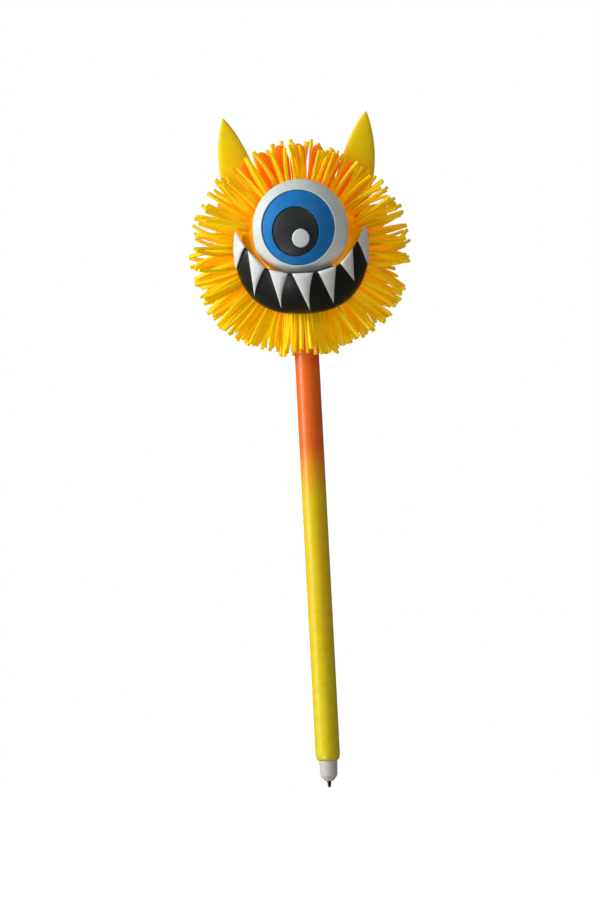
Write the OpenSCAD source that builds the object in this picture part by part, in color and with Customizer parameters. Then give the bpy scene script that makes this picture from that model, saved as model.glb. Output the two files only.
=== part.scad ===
// Ballpoint pen with a soft one-eyed monster head.
// The origin is the writing point, +Z runs up the pen and the face looks along -Y.

/* [Barrel] */
// Height of the barrel's lower end above the writing point
barrel_z0 = 9.0; // [6:0.5:14]
// Length of the full-width barrel, up to the shoulder under the head
barrel_len = 144; // [100:1:180]
// Outside diameter of the barrel
barrel_d = 8.0; // [7:0.1:10]
// Diameter of the bore through the barrel
bore_d = 5.2; // [4.8:0.1:5.6]
// Height of the rounding at the barrel's lower end
nose_round = 2.6; // [2:0.1:5]
// Diameter of the barrel's lower end face
barrel_end_d = 6.3; // [6.0:0.1:7.0]
// Diameter of the turned-down spigot that carries the head
spigot_d = 7.0; // [6.8:0.1:7.2]
// Length of that spigot
spigot_len = 17; // [12:0.5:21]
// Thickness of the flange on the plug that keeps the head on
plug_flange_t = 1.6; // [1:0.1:3]
// Depth of the plug inside the barrel
plug_depth = 8; // [5:0.5:12]

/* [Nose and refill] */
// Height of the nose's flat end above the writing point
nose_tip_z = 2.2; // [1.8:0.1:3]
// Diameter of that flat end
nose_tip_d = 2.9; // [2.7:0.1:3.4]
// Diameter where the nose's chamfer ends
nose_mid_d = 5.5; // [4.8:0.1:6]
// Height of the chamfer
nose_chamfer = 1.7; // [1:0.1:2.5]
// Diameter of the nose where it meets the barrel
nose_base_d = 6.1; // [5.8:0.1:6.6]
// Length of the nose's spigot inside the barrel
nose_spigot_len = 10; // [6:0.5:14]
// Outside diameter of the refill tube
refill_d = 3.0; // [2.8:0.1:3.6]
// Bore of the refill tube
refill_bore_d = 1.6; // [1.4:0.1:2.0]
// Length of the refill tube
refill_len = 118; // [80:1:140]
// Height of the refill tube's lower end above the writing point
refill_z0 = 6.5; // [5:0.1:7.5]
// Length of the ink column
ink_len = 96; // [40:1:110]
// Diameter of the point's body inside the nose
point_d = 2.3; // [2:0.1:2.5]
// Length of the point's shank inside the tube
shank_len = 4.5; // [3:0.1:6]
// Diameter of the writing ball
ball_d = 0.8; // [0.5:0.1:1.0]

/* [Head ball] */
// Radius of the head's smooth ball
core_r = 20.4; // [16:0.1:25]
// Wall of the ball's skin
skin_wall = 3.0; // [2:0.1:4]
// Outside diameter of the neck sleeve
sleeve_d = 10.6; // [9.6:0.1:13]
// Length of neck seen under the ball
neck_show = 4.0; // [2:0.1:6]

/* [Strands] */
// Length of a strand above the ball
strand_len = 16.2; // [10:0.1:20]
// Diameter of a strand
strand_d = 1.3; // [1:0.1:1.6]
// Angle between neighbouring strands
strand_step = 7.5; // [7:0.1:10]
// Thickness of the skin that carries each tuft
scalp_t = 0.5; // [0.4:0.1:1]

/* [Horns] */
// Rise of a horn's tip above the top of the ball
horn_rise = 23.4; // [16:0.1:30]
// Distance of a horn's tip from the middle
horn_out = 23.9; // [18:0.1:28]
// Thickness of a horn
horn_t = 2.6; // [2:0.1:4]

/* [Crest] */
// Length of a crest petal above the ball
petal_len = 14.0; // [10:0.1:18]
// Width of a petal near its round end
petal_w = 5.0; // [4:0.1:5.4]
// Width of a petal at the ball
petal_root_w = 3.4; // [2.6:0.1:3.8]
// Thickness of a petal
petal_t = 1.6; // [1:0.1:2.4]
// Gap between neighbouring petals at the ball
petal_gap = 0.48; // [0.2:0.02:1]
// Angle of the middle petal
petal_lean = 1.2; // [-4:0.1:4]

/* [Eye] */
// Radius of the eye's dome
eye_r = 15.6; // [13:0.1:19]
// Height of the eye's centre above the ball's centre
eye_up = 7.1; // [4:0.1:9]
// How far the eye stands in front of the ball
eye_proud = 4.2; // [2:0.1:6]
// Radius of the dome's curve as a multiple of the eye's radius
eye_curve = 1.35; // [1.2:0.01:1.6]
// Half width of the iris
iris_rx = 12.0; // [9:0.1:12.5]
// Half height of the iris
iris_ry = 12.4; // [9:0.1:12.8]
// Half width of the pupil
pupil_rx = 7.7; // [5:0.1:8.4]
// Half height of the pupil
pupil_ry = 8.2; // [5:0.1:9]
// Half width of the highlight disc
glint_rx = 2.85; // [2:0.05:3.6]
// Half height of the highlight disc
glint_ry = 3.05; // [2:0.05:4]
// Depth of the recess that holds the iris
iris_recess = 1.4; // [1:0.1:2]
// Thickness of the iris
iris_t = 0.9; // [0.6:0.1:1.2]
// Thickness of the pupil
pupil_t = 0.5; // [0.3:0.1:0.8]
// Thickness of the highlight disc
glint_t = 0.7; // [0.4:0.1:1]

/* [Mouth] */
// Half width of the mouth
mouth_hw = 22.4; // [18:0.1:24]
// Depth of the mouth's lower edge below the ball's centre
mouth_low = 21.4; // [17:0.1:24]
// Height of the mouth's corners above the ball's centre
mouth_high = 6.9; // [4:0.1:8]
// How far the mouth stands in front of the ball
mouth_proud = 2.6; // [1.5:0.1:4]
// Radius of the mouth's curved front
face_r = 26; // [24:0.5:32]
// Height of the teeth above the mouth
tooth_t = 1.2; // [0.6:0.1:2]

/* [Fits] */
// Radial clearance of a part that turns or slides
run_gap = 0.04; // [0.02:0.01:0.08]
// Clearance between parts fixed to each other
fix_gap = 0.03; // [0.02:0.01:0.05]
// End play between parts that move past each other
end_gap = 0.10; // [0.05:0.01:0.2]
// Clearance between soft pieces that stand side by side
soft_gap = 0.30; // [0.2:0.05:0.5]
// Clearance between the eye and the mouth
lip_gap = 0.3; // [0.3:0.1:1]

/* [Hidden] */
$fn = 96;

// levels along the pen
shoulder_z = barrel_z0 + barrel_len;
spigot_top = shoulder_z + spigot_len;
ball_z = shoulder_z + neck_show + core_r;
cavity_r = core_r - skin_wall;
plug_r = sleeve_d / 2 - 0.3;

// planes across the head, as distances along Y
eye_y = -(core_r + eye_proud - eye_r);
cavity_y = eye_y + skin_wall + 0.5;
face_y = face_r - core_r - mouth_proud;
cheek_in = 0.62 * eye_r;
cheek_top = 0.215 * core_r;
cheek_drop = 0.33 * face_r;
cheek_sink = 0.9;
rim_start = 79.3;
rim_row = 83;
mouth_back = -((core_r + scalp_t) * cos(rim_start) + 3 * soft_gap);
petal_back = -1.0;
horn_front = petal_back + 0.2;
horn_back = horn_front + horn_t;
petal_front = petal_back - petal_t;

petal_step = (petal_root_w + petal_gap) / core_r * 180 / PI;

// angles from the face's axis at which strands clear the horns and the petals
half_row = strand_d / 2 + soft_gap;
mid_row = 90 + asin((horn_back + half_row) / core_r);
mid_start = 90 + asin((horn_back + soft_gap) / core_r);
front_row = 90 - asin((half_row - petal_front) / core_r) - 1.5;
rim_end = mid_start - 1.3;
front_end = 90 - asin((soft_gap - petal_front) / (core_r + scalp_t));
neck_row_r = sleeve_d / 2 + half_row;
neck_scalp_r = neck_row_r + strand_d / 2 + 0.1;
neck_keep = asin((neck_scalp_r + half_row) / core_r);
neck_splay = 8;
rows = 4;
band = rows * strand_step;
back_start = mid_start + band + 1;
rear_start = back_start + band;

// a point on a cubic curve with four control points
function curve(a, b, c, d, t) =
  a * pow(1 - t, 3) + b * 3 * t * pow(1 - t, 2) + c * 3 * t * t * (1 - t) + d * pow(t, 3);
function oval(rx, ry) = [for (a = [0:7.5:352.5]) [rx * cos(a), ry * sin(a)]];

// ---- placing shapes on the head ----
// an outline seen from the front, standing from y_back towards -Y
module stand(y_back, depth) {
  translate([0, y_back, ball_z]) rotate([90, 0, 0]) linear_extrude(depth) children();
}
module head_ball(r, y = 0) {
  translate([0, y, ball_z]) sphere(r);
}

// ---- pen ----
module barrel() {
  color("darkorange") rotate_extrude() polygon(concat(
    [[bore_d / 2, barrel_z0]],
    [for (a = [0:15:90])
      [barrel_end_d / 2 + (barrel_d - barrel_end_d) / 2 * sin(a),
       barrel_z0 + nose_round * (1 - cos(a))]],
    [[barrel_d / 2, shoulder_z], [spigot_d / 2, shoulder_z],
     [spigot_d / 2, spigot_top], [bore_d / 2, spigot_top]]));
}
module neck_plug() {
  color("white") translate([0, 0, spigot_top]) {
    cylinder(r = plug_r, h = plug_flange_t);
    translate([0, 0, -plug_depth]) cylinder(d = bore_d - 2 * fix_gap, h = plug_depth + 0.2);
  }
}
module nose_cone() {
  point_r = point_d / 2 + fix_gap;
  tube_r = refill_d / 2 + fix_gap;
  spigot_r = bore_d / 2 - run_gap;
  color("white") rotate_extrude() polygon([
    [point_r, nose_tip_z], [nose_tip_d / 2, nose_tip_z],
    [nose_mid_d / 2, nose_tip_z + nose_chamfer],
    [nose_base_d / 2, barrel_z0 - end_gap / 2], [spigot_r, barrel_z0 - end_gap / 2],
    [spigot_r, barrel_z0 + nose_spigot_len],
    [tube_r, barrel_z0 + nose_spigot_len], [tube_r, refill_z0 - fix_gap],
    [point_r, refill_z0 - fix_gap]]);
}
module refill_tube() {
  color("lightgray") translate([0, 0, refill_z0]) difference() {
    cylinder(d = refill_d, h = refill_len);
    translate([0, 0, -1]) cylinder(d = refill_bore_d, h = refill_len + 2);
  }
}
module refill_point() {
  shank_r = refill_bore_d / 2 - fix_gap;
  color("dimgray") difference() {
    rotate_extrude() polygon([
      [0, ball_d * 0.38], [ball_d * 0.6, ball_d * 0.38], [0.75, nose_tip_z],
      [point_d / 2, nose_tip_z], [point_d / 2, refill_z0 - fix_gap],
      [shank_r, refill_z0 - fix_gap], [shank_r, refill_z0 + shank_len],
      [0, refill_z0 + shank_len]]);
    translate([0, 0, ball_d / 2]) sphere(ball_d / 2 + run_gap / 2);
    cylinder(r = ball_d * 0.3, h = refill_z0 + shank_len + 1);
  }
}
module ink_column() {
  color("navy") translate([0, 0, refill_z0 + shank_len + end_gap])
    cylinder(r = refill_bore_d / 2 - fix_gap / 2, h = ink_len);
}
module writing_ball() {
  color("silver") translate([0, 0, ball_d / 2]) sphere(ball_d / 2);
}

// ---- head ----
// the two corners between the eye and the mouth, sloping from the mouth's edge up to the ball
module cheeks() {
  rise = soft_gap / 2;
  intersection() {
    stand(mouth_back, 2 * face_r) intersection() {
      polygon(concat(
        [for (i = [-20:20]) let (x = corner_w * i / 20) [x, lip(x) + rise]],
        [[corner_w, core_r], [-corner_w, core_r]]));
      union() {
        translate([cheek_in, -core_r]) square([core_r, core_r + cheek_top]);
        translate([-cheek_in - core_r, -core_r]) square([core_r, core_r + cheek_top]);
      }
    }
    translate([0, face_y, ball_z - cheek_drop]) sphere(face_r - cheek_sink);
  }
}
module head_skin() {
  color("orange") difference() {
    union() {
      difference() {
        union() {
          head_ball(core_r);
          cheeks();
        }
        intersection() {
          head_ball(cavity_r);
          translate([-core_r, cavity_y, ball_z - core_r]) cube(2 * core_r);
        }
        stand(eye_y + fix_gap, core_r) eye_outline(fix_gap);
      }
      translate([0, 0, shoulder_z + end_gap])
        cylinder(d = sleeve_d, h = spigot_len - 2 * end_gap);
    }
    translate([0, 0, shoulder_z - 1]) cylinder(d = spigot_d + 2 * run_gap, h = spigot_len + 1);
    translate([0, 0, spigot_top - end_gap])
      cylinder(r = plug_r + soft_gap, h = plug_flange_t + end_gap + soft_gap);
  }
}
module foam_ball() {
  color("ivory") difference() {
    head_ball(cavity_r - fix_gap);
    translate([-core_r, cavity_y + fix_gap - 2 * core_r, ball_z - core_r]) cube(2 * core_r);
    translate([0, 0, ball_z - core_r])
      cylinder(d = sleeve_d + 2 * soft_gap, h = spigot_top + plug_flange_t + soft_gap - ball_z + core_r);
  }
}

// one strand, leaving the ball at angle t from the face's axis and p round from the top
module strand(t, p) {
  translate([0, 0, ball_z]) rotate([0, p, 0]) rotate([90 - t, 0, 0])
    translate([0, 0, core_r + scalp_t / 2]) cylinder(d = strand_d, h = strand_len - scalp_t / 2);
}
// the patch of skin between angles t1 and t2, and p1 and p2
module scalp(t1, t2, p1, p2) {
  tm = (t1 + t2) / 2;
  far = 2 * core_r;
  translate([0, 0, ball_z]) rotate([90, 0, 0]) rotate([0, 0, 90 - p2])
    rotate_extrude(angle = p2 - p1) intersection() {
      difference() {
        circle(core_r + scalp_t);
        circle(core_r + fix_gap);
      }
      polygon([[0, 0], far * [sin(t1), cos(t1)], far * [sin(tm), cos(tm)], far * [sin(t2), cos(t2)]]);
    }
}
// true where a strand passes behind the eye or outside its rim
function past_eye(t, p) = min([for (k = [0:0.1:1])
  let (r = core_r + k * strand_len, x = r * sin(t) * sin(p), z = r * sin(t) * cos(p) - eye_up)
    max(-r * cos(t) - eye_y - half_row, norm([x, z]) - eye_r - half_row)]) > 0;
// a tuft: a patch of skin with rows of strands, kept clear of the neck and the eye
module tuft(t1, t2, p1, p2, turns) {
  color("gold") difference() {
    union() {
      scalp(t1, t2, p1 + 0.6, p2 - 0.6);
      for (t = turns) {
        n = floor((p2 - p1) * sin(t) / strand_step);
        for (j = [0:n - 1]) {
          p = p1 + (j + 0.5) * (p2 - p1) / n;
          if (acos(-sin(t) * cos(p)) > neck_keep && past_eye(t, p)) strand(t, p);
        }
      }
    }
    translate([0, 0, shoulder_z]) cylinder(r = neck_scalp_r + soft_gap, h = spigot_len);
    if (t1 < 79) stand(eye_y + soft_gap, core_r) eye_outline(soft_gap);
  }
}
// the ring of strands that hangs round the neck
module tuft_neck() {
  a0 = 180 - asin(neck_scalp_r / core_r);
  a1 = 180 - asin((sleeve_d / 2 + soft_gap) / core_r);
  far = 2 * core_r;
  n = floor(PI * neck_row_r / strand_d);
  root = sqrt(core_r * core_r - neck_row_r * neck_row_r) + scalp_t / 2;
  color("gold") {
    translate([0, 0, ball_z]) rotate_extrude() intersection() {
      difference() {
        circle(core_r + scalp_t);
        circle(core_r + fix_gap);
      }
      polygon([[0, 0], far * [sin(a0), cos(a0)], far * [sin(a1), cos(a1)]]);
    }
    for (j = [0:n - 1]) rotate(360 * (j + 0.5) / n)
      translate([neck_row_r, 0, ball_z - root]) rotate([0, 180 - neck_splay, 0])
        cylinder(d = strand_d, h = strand_len);
  }
}
module tuft_front(p1, p2, more) {
  extra = more ? [front_row - strand_step] : [];
  tuft(front_row - strand_step / 2 - (more ? strand_step : 0), front_end, p1, p2,
    concat(extra, [front_row]));
}
module tuft_rim(side) {
  a = side < 0 ? 200 : 78;
  tuft(rim_start, rim_end, a, a + 82, [rim_row, rim_row + strand_step]);
}
module tuft_mid(i) {
  tuft(mid_start, mid_start + band, 60 * i, 60 * i + 60,
    [for (k = [0:rows - 1]) mid_row + k * strand_step]);
}
module tuft_back(i) {
  tuft(back_start, back_start + band - 1, 90 * i, 90 * i + 90,
    [for (k = [0:rows - 1]) back_start + (k + 0.5) * strand_step]);
}
module tuft_rear() {
  t0 = rear_start + strand_step / 2;
  color("gold") {
    translate([0, 0, ball_z]) rotate([90, 0, 0]) rotate_extrude() intersection() {
      difference() {
        circle(core_r + scalp_t);
        circle(core_r + fix_gap);
      }
      polygon([[0, 0], 40 * [sin(rear_start), cos(rear_start)], [0, -60]]);
    }
    strand(180, 0);
    for (t = [t0:strand_step:176]) {
      n = max(4, floor(360 * sin(t) / strand_step));
      for (j = [0:n - 1]) strand(t, 360 * j / n);
    }
  }
}

// a horn: a leaf-shaped plate whose root sits on the ball
module horn(side) {
  top = core_r + horn_rise;
  a0 = core_r * [sin(64), cos(64)];
  b0 = core_r * [sin(32), cos(32)];
  outer = [for (t = [0:0.05:1]) curve(a0, [horn_out + 3.1, core_r - 2],
    [horn_out + 3.1, top - 9.8], [horn_out, top], t)];
  inner = [for (t = [0:0.05:1]) curve([horn_out - 0.9, top], [horn_out - 5.9, top - 5.3],
    [horn_out - 10.4, core_r + 6.6], b0, t)];
  color("gold") difference() {
    stand(horn_back, horn_t) scale([side, 1]) polygon(concat(outer, inner, [[b0.x * 0.6, b0.y * 0.6]]));
    head_ball(core_r + fix_gap);
  }
}
// a crest petal: a flat tongue with a round end
module petal(i) {
  r = core_r + petal_len - petal_w / 2;
  color("orangered") difference() {
    stand(petal_back, petal_t) rotate(-(petal_lean + (i - 4) * petal_step)) {
      polygon([[-petal_root_w / 2, core_r * 0.9], [petal_root_w / 2, core_r * 0.9],
        [petal_w / 2, r], [-petal_w / 2, r]]);
      translate([0, r]) circle(d = petal_w);
    }
    head_ball(core_r + fix_gap);
  }
}

// ---- eye ----
// the eye seen from the front: a circle that swells at its lower corners towards the mouth
module eye_outline(grow) {
  translate([0, eye_up]) circle(eye_r + grow);
  for (side = [-1, 1]) translate([side * 0.17 * eye_r, eye_up - 0.17 * eye_r])
    circle(0.822 * eye_r + grow);
}
module eye_shell(r0, r1) {
  translate([0, dome_y, ball_z + eye_up]) difference() {
    sphere(r1);
    sphere(r0);
  }
}
module eye_cut(dx, dz, rx, ry) {
  translate([dx, eye_y - 0.2 * eye_r, ball_z + eye_up + dz]) rotate([90, 0, 0])
    linear_extrude(2 * eye_r) polygon(oval(rx, ry));
}
dome_r = eye_curve * eye_r;
dome_y = dome_r - core_r - eye_proud;
floor_r = dome_r - iris_recess;
iris_dx = -0.7;
iris_dz = -0.35;
pupil_dx = -1.6;
pupil_dz = -1.6;
glint_dx = 0;
glint_dz = -3.9;
module eye_white() {
  color("white") difference() {
    intersection() {
      stand(eye_y, 2 * eye_r) eye_outline(0);
      translate([0, dome_y, ball_z + eye_up]) sphere(dome_r);
    }
    intersection() {
      eye_cut(iris_dx, iris_dz, iris_rx, iris_ry);
      eye_shell(floor_r, dome_r + 2);
    }
  }
}
module iris() {
  color("steelblue") difference() {
    intersection() {
      eye_cut(iris_dx, iris_dz, iris_rx - fix_gap, iris_ry - fix_gap);
      eye_shell(floor_r + fix_gap, floor_r + iris_t);
    }
    eye_cut(pupil_dx, pupil_dz, pupil_rx, pupil_ry);
  }
}
module pupil() {
  color("black") intersection() {
    eye_cut(pupil_dx, pupil_dz, pupil_rx - fix_gap, pupil_ry - fix_gap);
    eye_shell(floor_r + fix_gap, floor_r + pupil_t);
  }
}
module eye_glint() {
  color("whitesmoke") intersection() {
    eye_cut(glint_dx, glint_dz, glint_rx, glint_ry);
    eye_shell(floor_r + pupil_t + fix_gap, floor_r + pupil_t + glint_t);
  }
}

// ---- mouth ----
// the mouth's upper edge hangs under the eye, and its lower edge is a squarish oval
lip_mid = eye_up - eye_r - lip_gap;
corner_w = mouth_hw - 1.2;
low_mid = 3.6;
function lip(x) = lip_mid + (mouth_high - lip_mid) * pow(abs(x) / corner_w, 3);
function chin(x) = low_mid - (mouth_low + low_mid) * pow(max(0, 1 - pow(abs(x) / mouth_hw, 2.5)), 0.4);
module mouth_outline() {
  difference() {
    polygon(concat(
      [for (i = [-20:20]) let (x = corner_w * i / 20) [x, lip(x)]],
      [for (i = [20:-1:-20]) let (x = mouth_hw * sin(4.5 * i)) [x, chin(x)]]));
    eye_outline(lip_gap);
  }
}
module mouth_base() {
  color("black") difference() {
    intersection() {
      stand(mouth_back, 2 * face_r) mouth_outline();
      head_ball(face_r, face_y);
    }
    head_ball(core_r + fix_gap);
    translate([0, 0, shoulder_z]) cylinder(r = neck_scalp_r + 1.2, h = spigot_len);
  }
}
module on_mouth() {
  color("white") intersection() {
    stand(mouth_back, 2 * face_r) intersection() {
      mouth_outline();
      children();
    }
    difference() {
      head_ball(face_r + tooth_t, face_y);
      head_ball(face_r + fix_gap, face_y);
    }
  }
}
// a tooth from its left and right root, its tip and how far down the mouth it reaches
module tooth(left, right, tip, reach, sag) {
  a = mouth_hw * left;
  b = mouth_hw * right;
  c = mouth_hw * tip;
  end = [c, lip(c) + (chin(c) - lip(c)) * reach];
  on_mouth() polygon(concat(
    [[a, lip(a) + 2], [a, lip(a)], end],
    [for (t = [0.15:0.15:0.9])
      end + ([b, lip(b)] - end) * t + [-sag * 4 * t * (1 - t), 0]],
    [[b, lip(b)], [b, lip(b) + 2]]));
}
module fang(side, low) {
  in = corner_w * 0.865;
  on_mouth() scale([side, 1]) polygon([
    [corner_w, mouth_high + 2], [in, lip(in) + 0.6], [in, lip(in)],
    [(in + mouth_hw) / 2, lip(in) - 2.4],
    [mouth_hw - 0.5, low], [mouth_hw + 4, low], [mouth_hw + 4, mouth_high + 2]]);
}

barrel();
neck_plug();
nose_cone();
refill_tube();
refill_point();
ink_column();
writing_ball();
head_skin();
foam_ball();
tuft_front(-74, -38, true);  // tuft_front_left
tuft_front(-38, 38, false);  // tuft_front_top
tuft_front(38, 74, true);  // tuft_front_right
tuft_rim(-1);  // tuft_rim_left
tuft_rim(1);  // tuft_rim_right
tuft_mid(0);  // tuft_mid_1
tuft_mid(1);  // tuft_mid_2
tuft_mid(2);  // tuft_mid_3
tuft_mid(3);  // tuft_mid_4
tuft_mid(4);  // tuft_mid_5
tuft_mid(5);  // tuft_mid_6
tuft_back(0);  // tuft_back_1
tuft_back(1);  // tuft_back_2
tuft_back(2);  // tuft_back_3
tuft_back(3);  // tuft_back_4
tuft_rear();
tuft_neck();
horn(-1);  // horn_left
horn(1);  // horn_right
petal(1);  // crest_petal_1
petal(2);  // crest_petal_2
petal(3);  // crest_petal_3
petal(4);  // crest_petal_4
petal(5);  // crest_petal_5
petal(6);  // crest_petal_6
petal(7);  // crest_petal_7
eye_white();
iris();
pupil();
eye_glint();
mouth_base();
fang(-1, -5.6);  // fang_left
tooth(-0.786, -0.545, -0.723, 0.92, 0.55);  // tooth_1
tooth(-0.490, -0.214, -0.337, 0.90, 0.75);  // tooth_2
tooth(-0.157, 0.155, 0.083, 0.95, 0.70);  // tooth_3
tooth(0.223, 0.495, 0.432, 0.89, 0.10);  // tooth_4
tooth(0.554, 0.750, 0.750, 0.73, 0.0);  // tooth_5
fang(1, -6.6);  // fang_right
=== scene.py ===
"""Ballpoint pen with a soft one-eyed monster head: the looks of each piece.

Every size is in metres in the part's own frame: the origin is the writing point, +Z runs up the
pen and the face looks along -Y. Shapes are computed as numpy grids, and each maker's docstring
gives its formula in words.
"""
import math

import bmesh
import bpy
import numpy as np
from bpy.props import FloatProperty, FloatVectorProperty, IntProperty, PointerProperty
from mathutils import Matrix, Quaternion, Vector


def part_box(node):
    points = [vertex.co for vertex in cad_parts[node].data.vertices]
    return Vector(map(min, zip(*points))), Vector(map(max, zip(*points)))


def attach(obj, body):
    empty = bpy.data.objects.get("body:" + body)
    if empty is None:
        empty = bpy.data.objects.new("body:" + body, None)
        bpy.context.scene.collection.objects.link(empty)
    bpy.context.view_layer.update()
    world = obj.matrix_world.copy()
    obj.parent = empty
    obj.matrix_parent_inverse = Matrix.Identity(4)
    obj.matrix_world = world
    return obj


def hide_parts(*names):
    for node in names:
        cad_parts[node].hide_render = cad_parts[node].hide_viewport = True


bl_info = {
    "name": "Monster Head Pen",
    "version": (1, 0, 0),
    "blender": (4, 5, 0),
    "location": "View3D > Sidebar > Monster Pen",
    "description": "Builds a ballpoint pen with a spiky one-eyed rubber head",
    "category": "Add Mesh",
}

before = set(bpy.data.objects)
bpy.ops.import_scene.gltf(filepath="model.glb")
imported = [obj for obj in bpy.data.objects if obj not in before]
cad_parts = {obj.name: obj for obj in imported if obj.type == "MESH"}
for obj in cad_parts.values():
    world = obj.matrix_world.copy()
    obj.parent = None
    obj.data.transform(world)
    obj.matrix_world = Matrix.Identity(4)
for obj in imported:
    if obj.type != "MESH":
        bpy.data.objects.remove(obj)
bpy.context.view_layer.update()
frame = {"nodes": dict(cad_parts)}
MM = 0.001


def low(node):
    """The lowest corner of a CAD node."""
    return np.array(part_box(node)[0], dtype=float)


def high(node):
    """The highest corner of a CAD node."""
    return np.array(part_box(node)[1], dtype=float)


def srgb(red, green, blue):
    """A colour picked on a 0 to 255 display scale, as linear red, green and blue."""
    c = np.array([red, green, blue]) / 255.0
    return tuple(float(v) for v in np.where(c <= 0.04045, c / 12.92, ((c + 0.055) / 1.055) ** 2.4))


# places that the pieces share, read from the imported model
BALL_R = float(high("head_skin")[0])
BALL_Z = float(high("head_skin")[2]) - BALL_R
EYE_HIGH = high("eye_white")
EYE_R = float(EYE_HIGH[0])
EYE_UP = float(EYE_HIGH[2]) - EYE_R - BALL_Z
EYE_BACK = float(EYE_HIGH[1])
MOUTH_HALF = float(high("mouth_base")[0])
MOUTH_LOW = float(low("mouth_base")[2]) - BALL_Z
MOUTH_HIGH = float(high("mouth_base")[2]) - BALL_Z
MOUTH_BACK = float(high("mouth_base")[1])
HORN_TOP = float(high("horn_right")[2]) - BALL_Z
HORN_FRONT, HORN_BACK = float(low("horn_right")[1]), float(high("horn_right")[1])
PETAL_FRONT, PETAL_BACK = float(low("crest_petal_4")[1]), float(high("crest_petal_4")[1])
NECK_Z = float(low("head_skin")[2])
BARREL_LOW, BARREL_TOP = float(low("barrel")[2]), float(high("barrel")[2])
BARREL_R = float(high("barrel")[0])
TIP_R = float(high("tuft_rim_right")[0])

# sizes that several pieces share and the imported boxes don't give
EYE_SHIFT = 0.17 * EYE_R  # the eye's two smaller circles lie this far to each side and down
EYE_SWELL = 0.822 * EYE_R  # radius of those two circles
DOME_R = 1.35 * EYE_R
DOME_PROUD = 4.2 * MM  # how far the eye's dome stands out of the ball
DOME_Y = DOME_R - BALL_R - DOME_PROUD
FACE_R = 26 * MM
FACE_PROUD = 2.6 * MM  # how far the mouth's front stands out of the ball
FACE_MIDDLE = FACE_R - BALL_R - FACE_PROUD
MOUTH_CORNER = MOUTH_HALF - 1.2 * MM
CHEEK_TOP = 0.215 * BALL_R
HORN_ROOTS = (64, 32)  # degrees from the ball's top to a horn's outer and inner edges
LOCK_STEP = math.radians(8.5)  # angle between neighbouring locks of strands
FRONT_DEG, BACK_DEG = 81, 97  # degrees from the face's middle: front strands end, back ones begin
PARTINGS = ((-0.67, 0.16), (0.9, 0.24))  # strips without strands: middle, half width, in barrel radii
TOOTH_TURNS = (-0.09, 0.0, 0.08, 0.12, 0.12)  # slope across each tooth, left to right
FLOOR_Z = -BARREL_TOP  # the nose and refill draw out downwards by less than the barrel's length


class PenSizes(bpy.types.PropertyGroup):
    """Sizes of the hard pieces."""

    barrel_radius: FloatProperty(
        name="Barrel radius", description="Outside radius of the barrel",
        default=BARREL_R, min=0.003, max=0.006, unit="LENGTH")
    bore_radius: FloatProperty(
        name="Bore radius", description="Radius of the bore through the barrel",
        default=2.6 * MM, min=0.002, max=0.003, unit="LENGTH")
    end_radius: FloatProperty(
        name="End radius", description="Radius of the barrel's lower end face",
        default=3.15 * MM, min=0.0028, max=0.0038, unit="LENGTH")
    end_round: FloatProperty(
        name="End rounding", description="Height of the rounding at the barrel's lower end",
        default=2.6 * MM, min=0.001, max=0.005, unit="LENGTH")
    sleeve_radius: FloatProperty(
        name="Neck radius", description="Outside radius of the neck sleeve",
        default=5.3 * MM, min=0.0045, max=0.0065, unit="LENGTH")
    fade_low: FloatProperty(
        name="Fade start", description="Height at which the yellow paint starts to turn orange",
        default=0.0945, min=0.02, max=0.15, unit="LENGTH")
    fade_high: FloatProperty(
        name="Fade end", description="Height at which the barrel is fully orange",
        default=0.1125, min=0.03, max=0.16, unit="LENGTH")


class HeadSizes(bpy.types.PropertyGroup):
    """Sizes of the rubber pieces."""

    strand_count: IntProperty(
        name="Strands", description="Places for strands over the whole ball",
        default=930, min=200, max=1800)
    clump_count: IntProperty(
        name="Clumps", description="Groups that the strands lean together in",
        default=150, min=20, max=400)
    clump_pull: FloatProperty(
        name="Clump pull", description="How far a strand's tip leans towards its clump",
        default=0.34, min=0.0, max=1.0, subtype="FACTOR")
    lock_pull: FloatProperty(
        name="Lock pull",
        description="How far the strands near the outline draw together into flat locks",
        default=0.42, min=0.0, max=0.9, subtype="FACTOR")
    strand_radius: FloatProperty(
        name="Strand radius", description="Radius of a strand at its root",
        default=0.72 * MM, min=0.0004, max=0.001, unit="LENGTH")
    fringe_count: IntProperty(
        name="Neck strands", description="Strands that hang round the neck",
        default=46, min=8, max=120)
    horn_out: FloatProperty(
        name="Horn spread", description="Distance of a horn's tip from the middle",
        default=23.9 * MM, min=0.018, max=0.028, unit="LENGTH")
    petal_step: FloatProperty(
        name="Petal step", description="Angle between neighbouring crest petals",
        default=math.radians(10.9), min=0.1, max=0.3, subtype="ANGLE")
    petal_lean: FloatProperty(
        name="Petal lean", description="Angle of the middle petal",
        default=math.radians(1.2), min=-0.1, max=0.1, subtype="ANGLE")


class FaceSizes(bpy.types.PropertyGroup):
    """Sizes of the eye and the mouth."""

    iris_size: FloatVectorProperty(
        name="Iris", description="Half width and half height of the iris", size=2,
        default=(12.0 * MM, 12.4 * MM), unit="LENGTH")
    pupil_size: FloatVectorProperty(
        name="Pupil", description="Half width and half height of the pupil", size=2,
        default=(7.7 * MM, 8.2 * MM), unit="LENGTH")
    glint_size: FloatVectorProperty(
        name="Highlight", description="Half width and half height of the highlight disc", size=2,
        default=(2.85 * MM, 3.05 * MM), unit="LENGTH")
    face_radius: FloatProperty(
        name="Mouth curve", description="Radius of the mouth's curved front",
        default=FACE_R, min=0.022, max=0.035, unit="LENGTH")
    tooth_height: FloatProperty(
        name="Tooth height", description="How far the teeth stand out of the mouth",
        default=1.2 * MM, min=0.0004, max=0.002, unit="LENGTH")


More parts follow.
